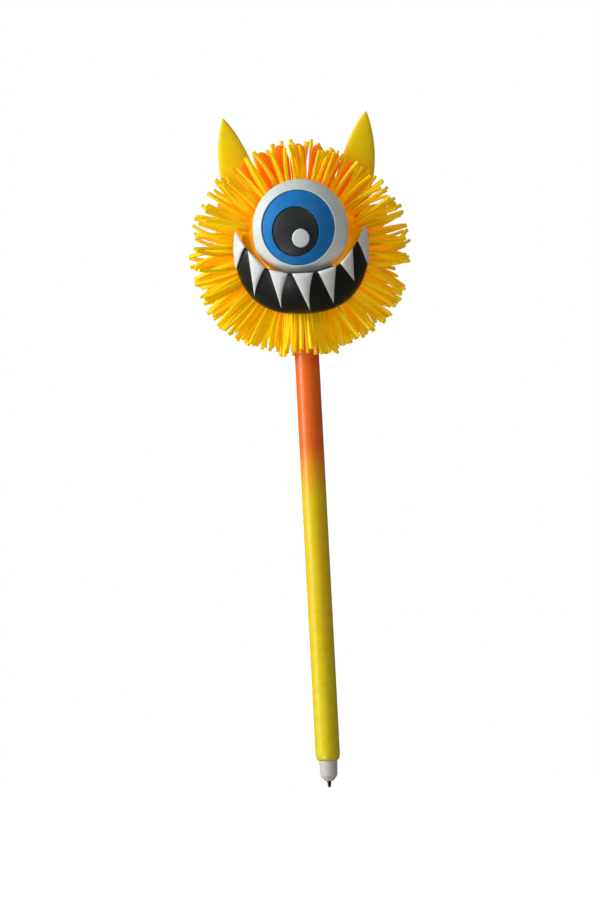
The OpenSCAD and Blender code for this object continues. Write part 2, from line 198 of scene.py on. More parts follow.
class Colours(bpy.types.PropertyGroup):
    """Base colours of the finishes, linear."""

    barrel_orange: FloatVectorProperty(
        name="Barrel orange", description="Upper barrel", subtype="COLOR", size=3,
        default=srgb(255, 110, 18))
    barrel_yellow: FloatVectorProperty(
        name="Barrel yellow", description="Lower barrel", subtype="COLOR", size=3,
        default=srgb(246, 208, 0))
    skin: FloatVectorProperty(
        name="Ball", description="Smooth rubber ball", subtype="COLOR", size=3,
        default=srgb(255, 160, 0))
    strand_root: FloatVectorProperty(
        name="Strand root", description="Strands at the ball", subtype="COLOR", size=3,
        default=srgb(255, 186, 0))
    strand_mid: FloatVectorProperty(
        name="Strand middle", description="Strands half way out", subtype="COLOR", size=3,
        default=srgb(255, 208, 0))
    strand_tip: FloatVectorProperty(
        name="Strand tip", description="Strands at their cut ends", subtype="COLOR", size=3,
        default=srgb(250, 216, 12))
    horn: FloatVectorProperty(
        name="Horn", description="Horns", subtype="COLOR", size=3, default=srgb(248, 212, 0))
    petal: FloatVectorProperty(
        name="Petal", description="Crest petals", subtype="COLOR", size=3,
        default=srgb(255, 116, 0))
    eye: FloatVectorProperty(
        name="Eye", description="White of the eye", subtype="COLOR", size=3,
        default=srgb(222, 229, 226))
    iris: FloatVectorProperty(
        name="Iris", description="Iris", subtype="COLOR", size=3, default=srgb(34, 126, 200))
    pupil: FloatVectorProperty(
        name="Pupil", description="Pupil", subtype="COLOR", size=3, default=srgb(44, 50, 48))
    mouth: FloatVectorProperty(
        name="Mouth", description="Inside of the mouth", subtype="COLOR", size=3,
        default=srgb(31, 34, 31))
    tooth: FloatVectorProperty(
        name="Teeth", description="Teeth", subtype="COLOR", size=3, default=srgb(229, 231, 229))


class StageSettings(bpy.types.PropertyGroup):
    """Lights and camera."""

    key_power: FloatProperty(
        name="Key", description="Power of the left light", default=11.6, min=0, unit="POWER")
    low_power: FloatProperty(
        name="Low light",
        description="Power of the light below the front, standing for the pale table top",
        default=1.9, min=0, unit="POWER")
    fill_power: FloatProperty(
        name="Fill", description="Power of the right light", default=2.4, min=0, unit="POWER")
    ambient: FloatProperty(
        name="Ambient", description="Strength of the light from all round", default=0.165, min=0)
    distance: FloatProperty(
        name="Distance", description="Camera to pen", default=4.0, min=0.3, unit="LENGTH")
    view_height: FloatProperty(
        name="View height", description="Height of the view at the pen", default=0.2961,
        min=0.1, unit="LENGTH")
    roll: FloatProperty(
        name="Roll", description="Lean of the pen in the view",
        default=math.radians(3.0), subtype="ANGLE")


# ---- mesh helpers ----

def put_mesh(name, points, faces, body, along=None, tone=None, crease=40):
    """A new object from points (n, 3) and a list of index arrays, each of one face size.

    Doubles are merged, normals turned outwards, and edges sharper than the crease angle stay sharp.
    """
    points = np.asarray(points, dtype=np.float64).reshape(-1, 3)
    mesh = bpy.data.meshes.new(name)
    loops = np.concatenate([f.ravel() for f in faces]).astype(np.int32)
    sizes = np.concatenate([np.full(len(f), f.shape[1]) for f in faces]).astype(np.int32)
    mesh.vertices.add(len(points))
    mesh.vertices.foreach_set("co", points.ravel())
    mesh.loops.add(len(loops))
    mesh.loops.foreach_set("vertex_index", loops)
    mesh.polygons.add(len(sizes))
    starts = np.concatenate([[0], np.cumsum(sizes)[:-1]]).astype(np.int32)
    mesh.polygons.foreach_set("loop_start", starts)
    mesh.update(calc_edges=True)
    for label, values in (("along", along), ("tone", tone)):
        if values is not None:
            layer = mesh.attributes.new(label, "FLOAT", "POINT")
            layer.data.foreach_set("value", np.asarray(values, dtype=np.float32).ravel())
    shape = bmesh.new()
    shape.from_mesh(mesh)
    bmesh.ops.remove_doubles(shape, verts=shape.verts, dist=1e-7)
    bmesh.ops.dissolve_degenerate(shape, edges=shape.edges, dist=1e-8)
    bmesh.ops.recalc_face_normals(shape, faces=shape.faces)
    shape.to_mesh(mesh)
    shape.free()
    mesh.polygons.foreach_set("use_smooth", np.ones(len(mesh.polygons), dtype=bool))
    mesh.set_sharp_from_angle(angle=math.radians(crease))
    mesh.validate()
    obj = bpy.data.objects.new(name, mesh)
    bpy.context.scene.collection.objects.link(obj)
    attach(obj, body)
    return obj


def grid(rows, columns, wrap_rows=False):
    """Quads over a grid of rows by columns: the last column joins the first, the last row may."""
    i = np.arange(rows if wrap_rows else rows - 1)[:, None]
    j = np.arange(columns)[None, :]
    k, m = (i + 1) % rows, (j + 1) % columns
    quads = [i * columns + j, i * columns + m, k * columns + m, k * columns + j]
    return np.stack(quads, axis=-1).reshape(-1, 4)


def spun(profile, sides):
    """Rings of points: each (radius, height) pair turned once round the pen's axis."""
    turn = np.linspace(0, 2 * np.pi, sides, endpoint=False)
    return np.stack([
        profile[:, :1] * np.cos(turn), profile[:, :1] * np.sin(turn),
        np.repeat(profile[:, 1:], sides, axis=1)], axis=-1)


def lathe(name, profile, body, sides=96, looped=False, crease=40):
    """A piece turned from a profile, whose last ring may join the first."""
    profile = np.asarray(profile, dtype=float)
    faces = [grid(len(profile), sides, wrap_rows=looped)]
    return put_mesh(name, spun(profile, sides), faces, body, crease=crease)


def arc(a, b, c, t):
    """A quadratic curve from a to c, drawn towards b, at every t."""
    return (1 - t) ** 2 * a + 2 * t * (1 - t) * b + t ** 2 * c


def rounded(corners, radii, steps=6):
    """Each corner of a path becomes a quadratic arc that starts and ends its radius away."""
    p = np.asarray(corners, dtype=float)
    r = np.asarray(radii, dtype=float)[:, None]
    before, after = np.roll(p, 1, axis=0) - p, np.roll(p, -1, axis=0) - p
    unit = lambda v: v / np.maximum(np.linalg.norm(v, axis=1, keepdims=True), 1e-12)
    a, b = p + unit(before) * r, p + unit(after) * r
    t = np.linspace(0, 1, steps)[None, :, None]
    return arc(a[:, None], p[:, None], b[:, None], t).reshape(-1, p.shape[1])


def capped(rings):
    """Rings (m, k, 3) with a centre point added before the first and after the last."""
    first = np.repeat(rings[:1].mean(axis=1, keepdims=True), rings.shape[1], axis=1)
    last = np.repeat(rings[-1:].mean(axis=1, keepdims=True), rings.shape[1], axis=1)
    return np.concatenate([first, rings, last])


def bezier(points, t):
    """A cubic curve drawn from four control points, at every t."""
    a, b, c, d = [np.asarray(p, dtype=float) for p in points]
    t = np.asarray(t)[:, None]
    return a * (1 - t) ** 3 + b * 3 * t * (1 - t) ** 2 + c * 3 * t * t * (1 - t) + d * t ** 3


def squircle(n, power):
    """n points round a superellipse of half width and half height 1."""
    a = np.linspace(0, 2 * np.pi, n, endpoint=False)
    c, s = np.cos(a), np.sin(a)
    return np.sign(c) * np.abs(c) ** (2 / power), np.sign(s) * np.abs(s) ** (2 / power)


def smooth(x, edge0, edge1):
    """A soft step from 0 at edge0 to 1 at edge1."""
    t = np.clip((x - edge0) / (edge1 - edge0), 0, 1)
    return t * t * (3 - 2 * t)


# ---- finishes ----

class Finish:
    """Builds one node material around a Principled shader."""

    def __init__(self, name, rough, metallic=0.0):
        """A new material with one roughness and one metallic value."""
        self.material = bpy.data.materials.new(name)
        self.material.use_nodes = True
        self.tree = self.material.node_tree
        self.shader = self.tree.nodes["Principled BSDF"]
        self.set("Roughness", rough).set("Metallic", metallic)
        self.where = self.node("ShaderNodeTexCoord").outputs["Object"]

    def node(self, kind, **values):
        """A new shader node with some of its own settings."""
        made = self.tree.nodes.new(kind)
        for label, value in values.items():
            setattr(made, label, value)
        return made

    def link(self, a, b):
        """Joins an output to an input."""
        self.tree.links.new(a, b)

    def set(self, label, value):
        """One plain value for one input of the main shader."""
        self.shader.inputs[label].default_value = value
        return self

    def stretch(self, scale):
        """Object coordinates scaled by three numbers, for streaks along one axis."""
        mapping = self.node("ShaderNodeMapping")
        mapping.inputs["Scale"].default_value = scale
        self.link(self.where, mapping.inputs["Vector"])
        return mapping.outputs["Vector"]

    def noise(self, scale, detail, vector=None):
        """Fractal noise between 0 and 1, over the object's own coordinates."""
        made = self.node("ShaderNodeTexNoise")
        made.inputs["Scale"].default_value = scale
        made.inputs["Detail"].default_value = detail
        self.link(vector or self.where, made.inputs["Vector"])
        return made.outputs["Fac"]

    def value(self, source, *limits):
        """A value moved from one range to another: low in, high in, low out, high out."""
        made = self.node("ShaderNodeMapRange")
        self.link(source, made.inputs["Value"])
        for label, number in zip(("From Min", "From Max", "To Min", "To Max"), limits):
            made.inputs[label].default_value = number
        return made.outputs["Result"]

    def waver(self, source, scale, detail, reach):
        """A value that a noise moves up and down by as much as the reach."""
        shift = self.value(self.noise(scale, detail), 0, 1, -reach, reach)
        made = self.node("ShaderNodeMath", operation="ADD")
        self.link(source, made.inputs[0])
        self.link(shift, made.inputs[1])
        return made.outputs["Value"]

    def ramp(self, source, *stops):
        """A colour ramp with (place, colour) stops."""
        made = self.node("ShaderNodeValToRGB")
        elements = made.color_ramp.elements
        while len(elements) < len(stops):
            elements.new(0.5)
        for element, (place, colour) in zip(elements, stops):
            element.position = place
            element.color = (*colour, 1)
        self.link(source, made.inputs["Fac"])
        return made.outputs["Color"]

    def mix(self, factor, a, b):
        """Two colours, each a plain one or an output, mixed by an output's value."""
        made = self.node("ShaderNodeMix", data_type="RGBA")
        self.link(factor, made.inputs["Factor"])
        for label, value in (("A", a), ("B", b)):
            socket = [s for s in made.inputs if s.name == label and s.type == "RGBA"][0]
            if hasattr(value, "is_linked"):
                self.link(value, socket)
            else:
                socket.default_value = (*value, 1)
        return [s for s in made.outputs if s.type == "RGBA"][0]

    def blotch(self, scale, detail, start, end, a, b, vector=None):
        """Two colours mixed by a noise: a where it is below start, b where it is above end."""
        return self.mix(self.value(self.noise(scale, detail, vector), start, end, 0, 1), a, b)

    def attribute(self, name):
        """A number stored with each point of the mesh."""
        return self.node("ShaderNodeAttribute", attribute_name=name).outputs["Fac"]

    def colour(self, output):
        """The base colour."""
        self.link(output, self.shader.inputs["Base Color"])
        return self

    def painted_glow(self, output, strength):
        """Painted light: the colour is also given off as light, so the part glows though it is no lamp
        and its shaded sides look lit.
        """
        self.link(output, self.shader.inputs["Emission Color"])
        return self.set("Emission Strength", strength)

    def let_through(self, weight, depth, radius):
        """Light let into the surface: how much, how deep, and each colour's share of the depth."""
        self.set("Subsurface Weight", weight).set("Subsurface Scale", depth)
        return self.set("Subsurface Radius", radius)

    def patchy(self, scale, detail, least, most, vector=None):
        """Roughness that a noise moves between two values."""
        rough = self.value(self.noise(scale, detail, vector), 0.3, 0.7, least, most)
        self.link(rough, self.shader.inputs["Roughness"])
        return self

    def grain(self, scale, detail, strength, distance):
        """A noise as small bumps."""
        return self.bump(self.noise(scale, detail), strength, distance)

    def bump(self, height, strength, distance):
        """Bumps from a height, added to any that are there."""
        made = self.node("ShaderNodeBump")
        made.inputs["Strength"].default_value = strength
        made.inputs["Distance"].default_value = distance
        previous = self.shader.inputs["Normal"]
        if previous.is_linked:
            self.link(previous.links[0].from_socket, made.inputs["Normal"])
        self.link(height, made.inputs["Height"])
        self.link(made.outputs["Normal"], previous)
        return self

    def on(self, *objects):
        """Puts the material on the objects in place of what they had."""
        for obj in objects:
            obj.data.materials.clear()
            obj.data.materials.append(self.material)
        return self


def dim(colour, k):
    """A colour made darker by k."""
    return tuple(c * k for c in colour)


def soft_rubber(name, colour, rough, grain, weight, painted_glow_strength=0.1):
    """Moulded rubber: cloudy tint, fine skin texture, a little light let through, and a painted glow
    that lights its shaded sides.
    """
    f = Finish(name, rough)
    f.let_through(weight, 0.002, (1.0, 0.45, 0.12)).set("Specular IOR Level", 0.22)
    tint = f.blotch(260, 3, 0.35, 0.68, colour, dim(colour, 0.88))
    # painted light: the rubber's tint is also given off as a glow, brightening its shaded sides
    f.colour(tint).painted_glow(tint, painted_glow_strength)
    return f.patchy(620, 2, rough - 0.06, rough + 0.1).grain(grain, 4, 0.25, 0.00006)


def moulded_vinyl(name, colour, rough, shade=0.93):
    """Painted vinyl: faint clouding, very fine orange peel, small changes of gloss."""
    f = Finish(name, rough)
    f.set("Subsurface Weight", 0.04).set("Subsurface Scale", 0.001).set("Specular IOR Level", 0.3)
    f.colour(f.blotch(340, 4, 0.38, 0.66, colour, dim(colour, shade)))
    return f.patchy(900, 3, rough - 0.05, rough + 0.08).grain(2200, 2, 0.2, 0.00003)


# ---- shapes of the face ----

def lip(x):
    """Height of the mouth's upper edge: it rises with the cube of the distance from the middle, and
    under the eye, more so on the right, it is drawn up to the eye's own outline."""
    below_eye, overlap = 0.12 * MM, 0.22 * MM
    fade_in, fade_out = (-8.5 * MM, -5.5 * MM), (8.5 * MM, 11.5 * MM)
    middle = EYE_UP - EYE_R - below_eye
    free = middle + (MOUTH_HIGH - middle) * np.abs(x / MOUTH_CORNER) ** 3
    ring = EYE_UP - np.sqrt(np.clip(EYE_R ** 2 - x ** 2, 0, None))
    drop = np.sqrt(np.clip(EYE_SWELL ** 2 - (np.abs(x) - EYE_SHIFT) ** 2, 0, None))
    touch = np.minimum(ring, EYE_UP - EYE_SHIFT - drop) + overlap
    near = smooth(x, *fade_in) * (1 - smooth(x, *fade_out))
    return free + (np.maximum(touch, free) - free) * near


def chin(x):
    """Height of the mouth's lower edge: the lower half of a squarish oval."""
    middle = 3.6 * MM
    inside = np.clip(1 - np.abs(x / MOUTH_HALF) ** 2.5, 0, None)
    return middle + (MOUTH_LOW - middle) * inside ** 0.4


def eye_edge(a, grow=0.0):
    """Distance from the eye's middle to its outline at angle a: a circle, or the further of two
    smaller circles that make the lower corners swell."""
    shift, r = EYE_SHIFT, EYE_SWELL + grow
    edge = np.full(np.shape(a), EYE_R + grow)
    for side in (-1, 1):
        along = side * shift * np.cos(a) - shift * np.sin(a)
        edge = np.maximum(edge, along + np.sqrt(r * r - 2 * shift * shift + along ** 2))
    return edge


def dome_y(x, z, drop=0.0):
    """Depth of the eye's dome at (x, height from the eye's middle), a sphere smaller by the drop."""
    return DOME_Y - np.sqrt((DOME_R - drop) ** 2 - x * x - z * z)


def face_y(sizes, x, z, rise=0.0):
    """Depth of the mouth's curved front, a sphere, with a rise above it."""
    return FACE_MIDDLE - np.sqrt((sizes.face_radius + rise) ** 2 - x * x - z * z)


def horn_edges(t):
    """Outer and inner edges of the right horn at t from root to tip, as (x, height) curves."""
    out = bpy.context.scene.monster_pen_head.horn_out
    root_out, root_in = [
        BALL_R * np.array([math.sin(a), math.cos(a)]) for a in map(math.radians, HORN_ROOTS)]
    outer = bezier([
        root_out, (out + 3.1 * MM, BALL_R - 2 * MM), (out + 3.1 * MM, HORN_TOP - 9.8 * MM),
        (out, HORN_TOP)], t)
    inner = bezier([
        root_in, (out - 10.4 * MM, BALL_R + 6.6 * MM), (out - 5.9 * MM, HORN_TOP - 5.3 * MM),
        (out - 0.9 * MM, HORN_TOP)], t)
    return outer, inner


# ---- operators: the pen ----

class PEN_OT_barrel(bpy.types.Operator):
    """Builds the barrel, painted from lime yellow below to orange above"""

    bl_idname = "monster_pen.barrel"
    bl_label = "Barrel"

    def execute(self, context):
        """A closed profile turned once: the bore's edge, a quarter ellipse at the lower end, the
        straight wall, and the step at the neck."""
        s = context.scene.monster_pen
        z0, top = BARREL_LOW, BARREL_TOP
        shoulder = NECK_Z - 0.1 * MM
        a = np.linspace(0, np.pi / 2, 14)
        nose = np.stack([s.end_radius + (s.barrel_radius - s.end_radius) * np.sin(a),
                         z0 + s.end_round * (1 - np.cos(a))], axis=1)
        climb = np.linspace(z0 + s.end_round, shoulder - 0.3 * MM, 40)
        wall = np.stack([np.full(40, s.barrel_radius), climb], axis=1)
        inner = s.bore_radius
        lip_in = [(inner, z0 + 0.15 * MM), (inner + 0.12 * MM, z0)]
        spigot = 3.5 * MM
        rest = [(s.barrel_radius - 0.25 * MM, shoulder), (spigot, shoulder), (spigot, top),
                (inner, top)]
        profile = np.concatenate([lip_in, nose, wall[1:], rest])
        obj = lathe("pen_barrel", profile, "pen_body", 96, looped=True, crease=35)
        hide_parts("barrel")
        c = context.scene.monster_pen_colours
        f = Finish("barrel_lacquer", 0.34)
        f.set("Coat Weight", 0.25).set("Coat Roughness", 0.22).set("Specular IOR Level", 0.5)
        split = f.node("ShaderNodeSeparateXYZ")
        f.link(f.where, split.inputs["Vector"])
        height = f.waver(split.outputs["Z"], 90, 2, 0.0012)
        fade = f.value(height, s.fade_low, s.fade_high, 0, 1)
        tint = f.ramp(fade, (0.0, c.barrel_yellow), (0.45, srgb(250, 176, 14)), (1.0, c.barrel_orange))
        lime = f.mix(f.value(split.outputs["Z"], 0.0, 0.09, 0.5, 0.0), tint, srgb(226, 222, 10))
        speck = f.mix(f.value(f.noise(420, 5), 0.4, 0.75, 0.0, 0.16), lime, (0.3, 0.14, 0.01))
        f.colour(speck)
        f.patchy(700, 4, 0.30, 0.42, f.stretch((1, 1, 0.08))).grain(1500, 2, 0.12, 0.00003).on(obj)
        return {"FINISHED"}


class PEN_OT_nose(bpy.types.Operator):
    """Builds the white nose, the metal point and the writing ball"""

    bl_idname = "monster_pen.nose"
    bl_label = "Nose and point"

    def execute(self, context):
        """Three profiles turned once: the nose with its spigot, the point with its socket, and half
        a circle for the ball."""
        s = context.scene.monster_pen
        tip_z = float(low("nose_cone")[2])
        top = float(high("nose_cone")[2])
        seat = BARREL_LOW - 0.05 * MM
        hole, tube, plug = 1.18 * MM, 1.53 * MM, s.bore_radius - 0.04 * MM
        stop = 6.47 * MM
        corners = [
            (hole, tip_z), (1.45 * MM, tip_z), (2.75 * MM, tip_z + 1.7 * MM),
            (2.82 * MM, tip_z + 2.4 * MM), (3.05 * MM, seat), (plug, seat), (plug, top), (tube, top),
            (tube, stop), (hole, stop)]
        radii = np.array([0, 0.22, 0.35, 0.2, 0.12, 0, 0.2, 0.1, 0, 0]) * MM
        nose = lathe("nose_cap", rounded(corners, radii), "refill_unit", 80, looped=True, crease=35)
        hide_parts("nose_cone")
        f = moulded_vinyl("nose_plastic", srgb(210, 206, 203), 0.36, 0.95)
        f.let_through(0.15, 0.001, (1, 0.9, 0.8)).on(nose)

        ball = float(high("writing_ball")[0])
        edge = 0.76 * ball
        wide, stem, step, end = 1.15 * MM, 0.77 * MM, 6.45 * MM, 11 * MM
        corners = [
            (0, 2.5 * ball), (0.9 * ball, 1.9 * ball), (1.05 * ball, ball), (0.93 * ball, edge),
            (1.2 * ball, edge), (0.62 * MM, 1.5 * MM), (0.75 * MM, tip_z),
            (0.92 * MM, tip_z + 0.02 * MM), (wide, tip_z + 0.2 * MM), (wide, step), (stem, step),
            (stem, end), (0, end)]
        radii = np.array([0, 0, 0, 0, .03, .1, .05, .05, .05, .1, .05, .1, 0]) * MM
        point = lathe("point_cone", rounded(corners, radii, 5), "refill_unit", 64, crease=30)
        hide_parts("refill_point")
        f = Finish("dark_turned_metal", 0.3, 0.85)
        rings = f.node("ShaderNodeTexWave", wave_type="BANDS", bands_direction="Z")
        rings.inputs["Scale"].default_value = 1600
        rings.inputs["Distortion"].default_value = 0.6
        f.link(f.where, rings.inputs["Vector"])
        f.colour(f.blotch(900, 3, 0.35, 0.65, srgb(58, 54, 50), srgb(30, 28, 27)))
        f.patchy(2600, 2, 0.24, 0.4).bump(rings.outputs["Fac"], 0.15, 0.00001).on(point)

        turn = np.linspace(0, np.pi, 25)
        sphere = np.stack([ball * np.sin(turn), ball - ball * np.cos(turn)], axis=1)
        bead = lathe("point_ball", sphere, "point_ball", 40)
        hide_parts("writing_ball")
        f = Finish("inked_steel", 0.18, 0.9)
        f.colour(f.blotch(2200, 3, 0.42, 0.6, srgb(120, 120, 124), srgb(34, 34, 44)))
        f.grain(5200, 2, 0.1, 0.000005).on(bead)
        return {"FINISHED"}


class PEN_OT_inside(bpy.types.Operator):
    """Finishes the pieces kept from the CAD model: refill tube, ink, plug and foam"""

    bl_idname = "monster_pen.inside"
    bl_label = "Inner pieces"

    def execute(self, context):
        """One finish for each CAD piece that no visual piece replaces."""
        nodes = frame["nodes"]
        f = Finish("refill_plastic", 0.3)
        f.set("Subsurface Weight", 0.35).set("Subsurface Scale", 0.002)
        streaks = f.stretch((1, 1, 0.15))
        f.colour(f.blotch(160, 3, 0.4, 0.62, srgb(228, 231, 232), srgb(206, 210, 214), streaks))
        f.patchy(800, 2, 0.26, 0.4).grain(1600, 2, 0.08, 0.00002).on(nodes["refill_tube"])
        f = Finish("ink_paste", 0.22)
        f.colour(f.blotch(500, 3, 0.4, 0.6, srgb(24, 24, 60), srgb(10, 10, 30)))
        f.grain(900, 2, 0.2, 0.00004).on(nodes["ink_column"])
        moulded_vinyl("plug_plastic", srgb(232, 232, 228), 0.4).on(nodes["neck_plug"])
        f = Finish("open_foam", 0.9)
        cell = f.node("ShaderNodeTexVoronoi")
        cell.inputs["Scale"].default_value = 900
        f.link(f.where, cell.inputs["Vector"])
        pore_shade = f.value(cell.outputs["Distance"], 0, 0.7, 0, 1)
        # painted shade: the foam is darker in the hollows of its cells, where shade would fall
        f.colour(f.mix(pore_shade, srgb(196, 186, 160), srgb(240, 234, 214)))
        f.bump(cell.outputs["Distance"], 0.6, 0.0003).on(nodes["foam_ball"])
        return {"FINISHED"}


# ---- operators: the head ----

class PEN_OT_skin(bpy.types.Operator):
    """Builds the smooth rubber ball, its pocket for the eye, and its neck sleeve"""

    bl_idname = "monster_pen.skin"
    bl_label = "Ball and neck"

    def execute(self, context):
        """Ball: columns fan out from the pocket's middle, climb the pocket's wall and follow great
        circles to the back. Cheeks: beside the eye, above the mouth's upper edge, a point moves
        forward to a second, lower sphere. Neck: a profile turned round the pen's axis, flared into
        the ball."""
        face = context.scene.monster_pen_face
        s = context.scene.monster_pen
        r, neck = BALL_R, s.sleeve_radius
        columns, rows = 200, 110
        a = np.linspace(0, 2 * np.pi, columns, endpoint=False)
        flat = math.sqrt(r * r - EYE_BACK ** 2)
        reach = -EYE_UP * np.sin(a) + np.sqrt(flat ** 2 - (EYE_UP * np.cos(a)) ** 2)
        rim = np.minimum(eye_edge(a, 0.05 * MM), reach)
        x, z = rim * np.cos(a), EYE_UP + rim * np.sin(a)
        y = -np.sqrt(r * r - x * x - z * z)
        floor = np.full(columns, EYE_BACK + 0.05 * MM)
        first = np.arccos(-y / r)
        tilt = first + (np.pi - first) * np.linspace(0, 1, rows)[:, None] ** 1.35
        turn = np.arctan2(z, x)
        away = np.sin(tilt)
        ball = r * np.stack([away * np.cos(turn), -np.cos(tilt), away * np.sin(turn)], axis=-1)
        bx, by, bz = ball[..., 0], ball[..., 1], ball[..., 2]
        low_sphere = (face.face_radius - 0.9 * MM) ** 2 - bx ** 2 - (bz + 0.33 * face.face_radius) ** 2
        cheek = FACE_MIDDLE - np.sqrt(np.maximum(low_sphere, 0))
        front = FACE_MIDDLE - np.sqrt(np.maximum(face.face_radius ** 2 - bx ** 2 - bz ** 2, 0))
        cheek = np.where(low_sphere > 0, np.maximum(cheek, front + 0.5 * MM), by)
        beside = smooth(np.abs(bx), 9.4 * MM, 10.6 * MM)
        below = 1 - smooth(bz, CHEEK_TOP - 1.2 * MM, CHEEK_TOP + 0.2 * MM)
        share = beside * below * smooth(bz - lip(bx), -0.8 * MM, 0) * (by < MOUTH_BACK)
        ball[..., 1] = by + share * (np.minimum(cheek, by) - by)
        y = ball[0, :, 1]
        pocket = np.stack([
            np.stack([x * 0, floor, z * 0 + EYE_UP], -1), np.stack([x, floor, z], -1)])
        shell = np.concatenate([pocket, ball]) + np.array([0, 0, BALL_Z])

        side = neck + 1.2 * MM
        start = np.array([side, BALL_Z - math.sqrt(r * r - side * side)])
        down = BALL_Z - math.sqrt(r * r - neck * neck)
        t = np.linspace(0, 1, 10)[:, None]
        fillet = arc(start, np.array([neck, down]), np.array([neck, down - 1.6 * MM]), t)
        bore, cup, top, roof = 3.54 * MM, 5.3 * MM, BARREL_TOP + 2.0 * MM, 0.8 * MM
        corners = [(neck, down - 2 * MM), (neck, NECK_Z), (bore, NECK_Z), (bore, BARREL_TOP),
                   (cup, BARREL_TOP), (cup, top), (0, top)]
        tail = rounded(corners, np.array([0, 0.4, 0.2, 0, 0, 0, 0]) * MM, 5)
        inset = side - 0.4 * MM
        head = [(0, top + roof), (inset, top + roof), (inset, start[1] + 0.6 * MM)]
        profile = np.concatenate([head, fillet, tail])
        sleeve = spun(profile, 96)
        points = np.concatenate([shell.reshape(-1, 3), sleeve.reshape(-1, 3)])
        faces = [grid(len(shell), columns), grid(len(profile), 96) + shell[..., 0].size]
        obj = put_mesh("rubber_ball", points, faces, "monster_head")
        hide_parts("head_skin")
        c = context.scene.monster_pen_colours
        # painted light: the ball glows at 0.28 of its tint, so the cheeks beside the fang look lit
        # where the fang shades them
        soft_rubber("ball_rubber", c.skin, 0.45, 1200, 0.2, 0.28).on(obj)
        return {"FINISHED"}


def strand_paths(roots, leave, tips, steps=7):
    """Paths that leave their roots along one direction and bend to their tips: quadratic curves."""
    t = np.linspace(0, 1, steps)[None, :, None]
    reach = np.linalg.norm(tips - roots, axis=1)[:, None]
    middle = roots + leave * reach * 0.55
    return arc(roots[:, None], middle[:, None], tips[:, None], t)


def clear_of_face(paths, head):
    """True for each path that stays off the eye, the mouth, the horns, the petals and the neck."""
    x, y, z = paths[..., 0], paths[..., 1], paths[..., 2]
    gap = 0.8 * MM
    eye = (y < EYE_BACK + gap) & (np.hypot(x, z - EYE_UP) < EYE_R + gap)
    edge = np.clip(np.abs(x), 0, MOUTH_HALF)
    cheek = np.where(x < 0, CHEEK_TOP, -BALL_R)
    above = np.maximum(np.minimum(lip(edge), MOUTH_HIGH), cheek)
    mouth = (y < MOUTH_BACK + gap) & (np.abs(x) < MOUTH_HALF + gap)
    mouth &= (z > chin(edge) - gap) & (z < above + gap)
    t = np.linspace(0, 1, 40)
    outer, inner = horn_edges(t)
    wide = np.interp(z, outer[:, 1], outer[:, 0]) + gap
    narrow = np.interp(z, inner[:, 1], inner[:, 0]) - gap
    root = (z > outer[0, 1]) | (np.abs(x) > inner[0, 0])
    horn = (y > HORN_FRONT - gap) & (y < HORN_BACK + gap) & (z > outer[0, 1] - gap) & root
    horn &= (np.abs(x) < wide) & (np.abs(x) > narrow)
    turn = np.arctan2(x, z)
    crest = (z > 0) & (y > PETAL_FRONT - gap) & (y < PETAL_BACK + gap)
    crest &= np.abs(turn - head.petal_lean) < 3.5 * head.petal_step
    neck = (z < 0) & (np.hypot(x, y) < np.where(z > NECK_Z - BALL_Z, 6.2, 4.9) * MM)
    return ~(eye | mouth | horn | crest | neck).any(axis=1)


def strand_mesh(name, paths, radius, rng, sides=6):
    """Tubes along the paths with blunt flat ends, each slightly oval and a little thinner at its tip.

    Each ring stands square to its path: two directions across it come from cross products with the
    path's direction and a fixed direction turned by a random angle.
    """
    count, steps = paths.shape[:2]
    run = np.gradient(paths, axis=1)
    run /= np.linalg.norm(run, axis=2, keepdims=True)
    helper = rng.normal(size=(count, 1, 3))
    across = np.cross(run, helper)
    across /= np.linalg.norm(across, axis=2, keepdims=True)
    up = np.cross(run, across)
    a = np.linspace(0, 2 * np.pi, sides, endpoint=False)
    t = np.linspace(0, 1, steps)
    size = radius * rng.uniform(0.86, 1.12, (count, 1)) * (1.06 - 0.16 * t)[None, :]
    oval = rng.uniform(0.82, 1.0, (count, 1, 1, 1))
    ring = (across[:, :, None] * np.cos(a)[None, None, :, None]
            + up[:, :, None] * np.sin(a)[None, None, :, None] * oval)
    points = paths[:, :, None] + ring * size[:, :, None, None]
    base = (np.arange(count) * steps * sides)[:, None, None]
    tube = (base + grid(steps, sides)[None]).reshape(-1, 4)
    start = base[:, :, 0] + np.arange(sides)[None, ::-1]
    end = base[:, :, 0] + (steps - 1) * sides + np.arange(sides)[None]
    along = np.broadcast_to(t[None, :, None], (count, steps, sides))
    tone = np.broadcast_to(rng.uniform(0, 1, (count, 1, 1)), (count, steps, sides))
    return put_mesh(name, points, [tube, start, end], "monster_head", along, tone, crease=62)


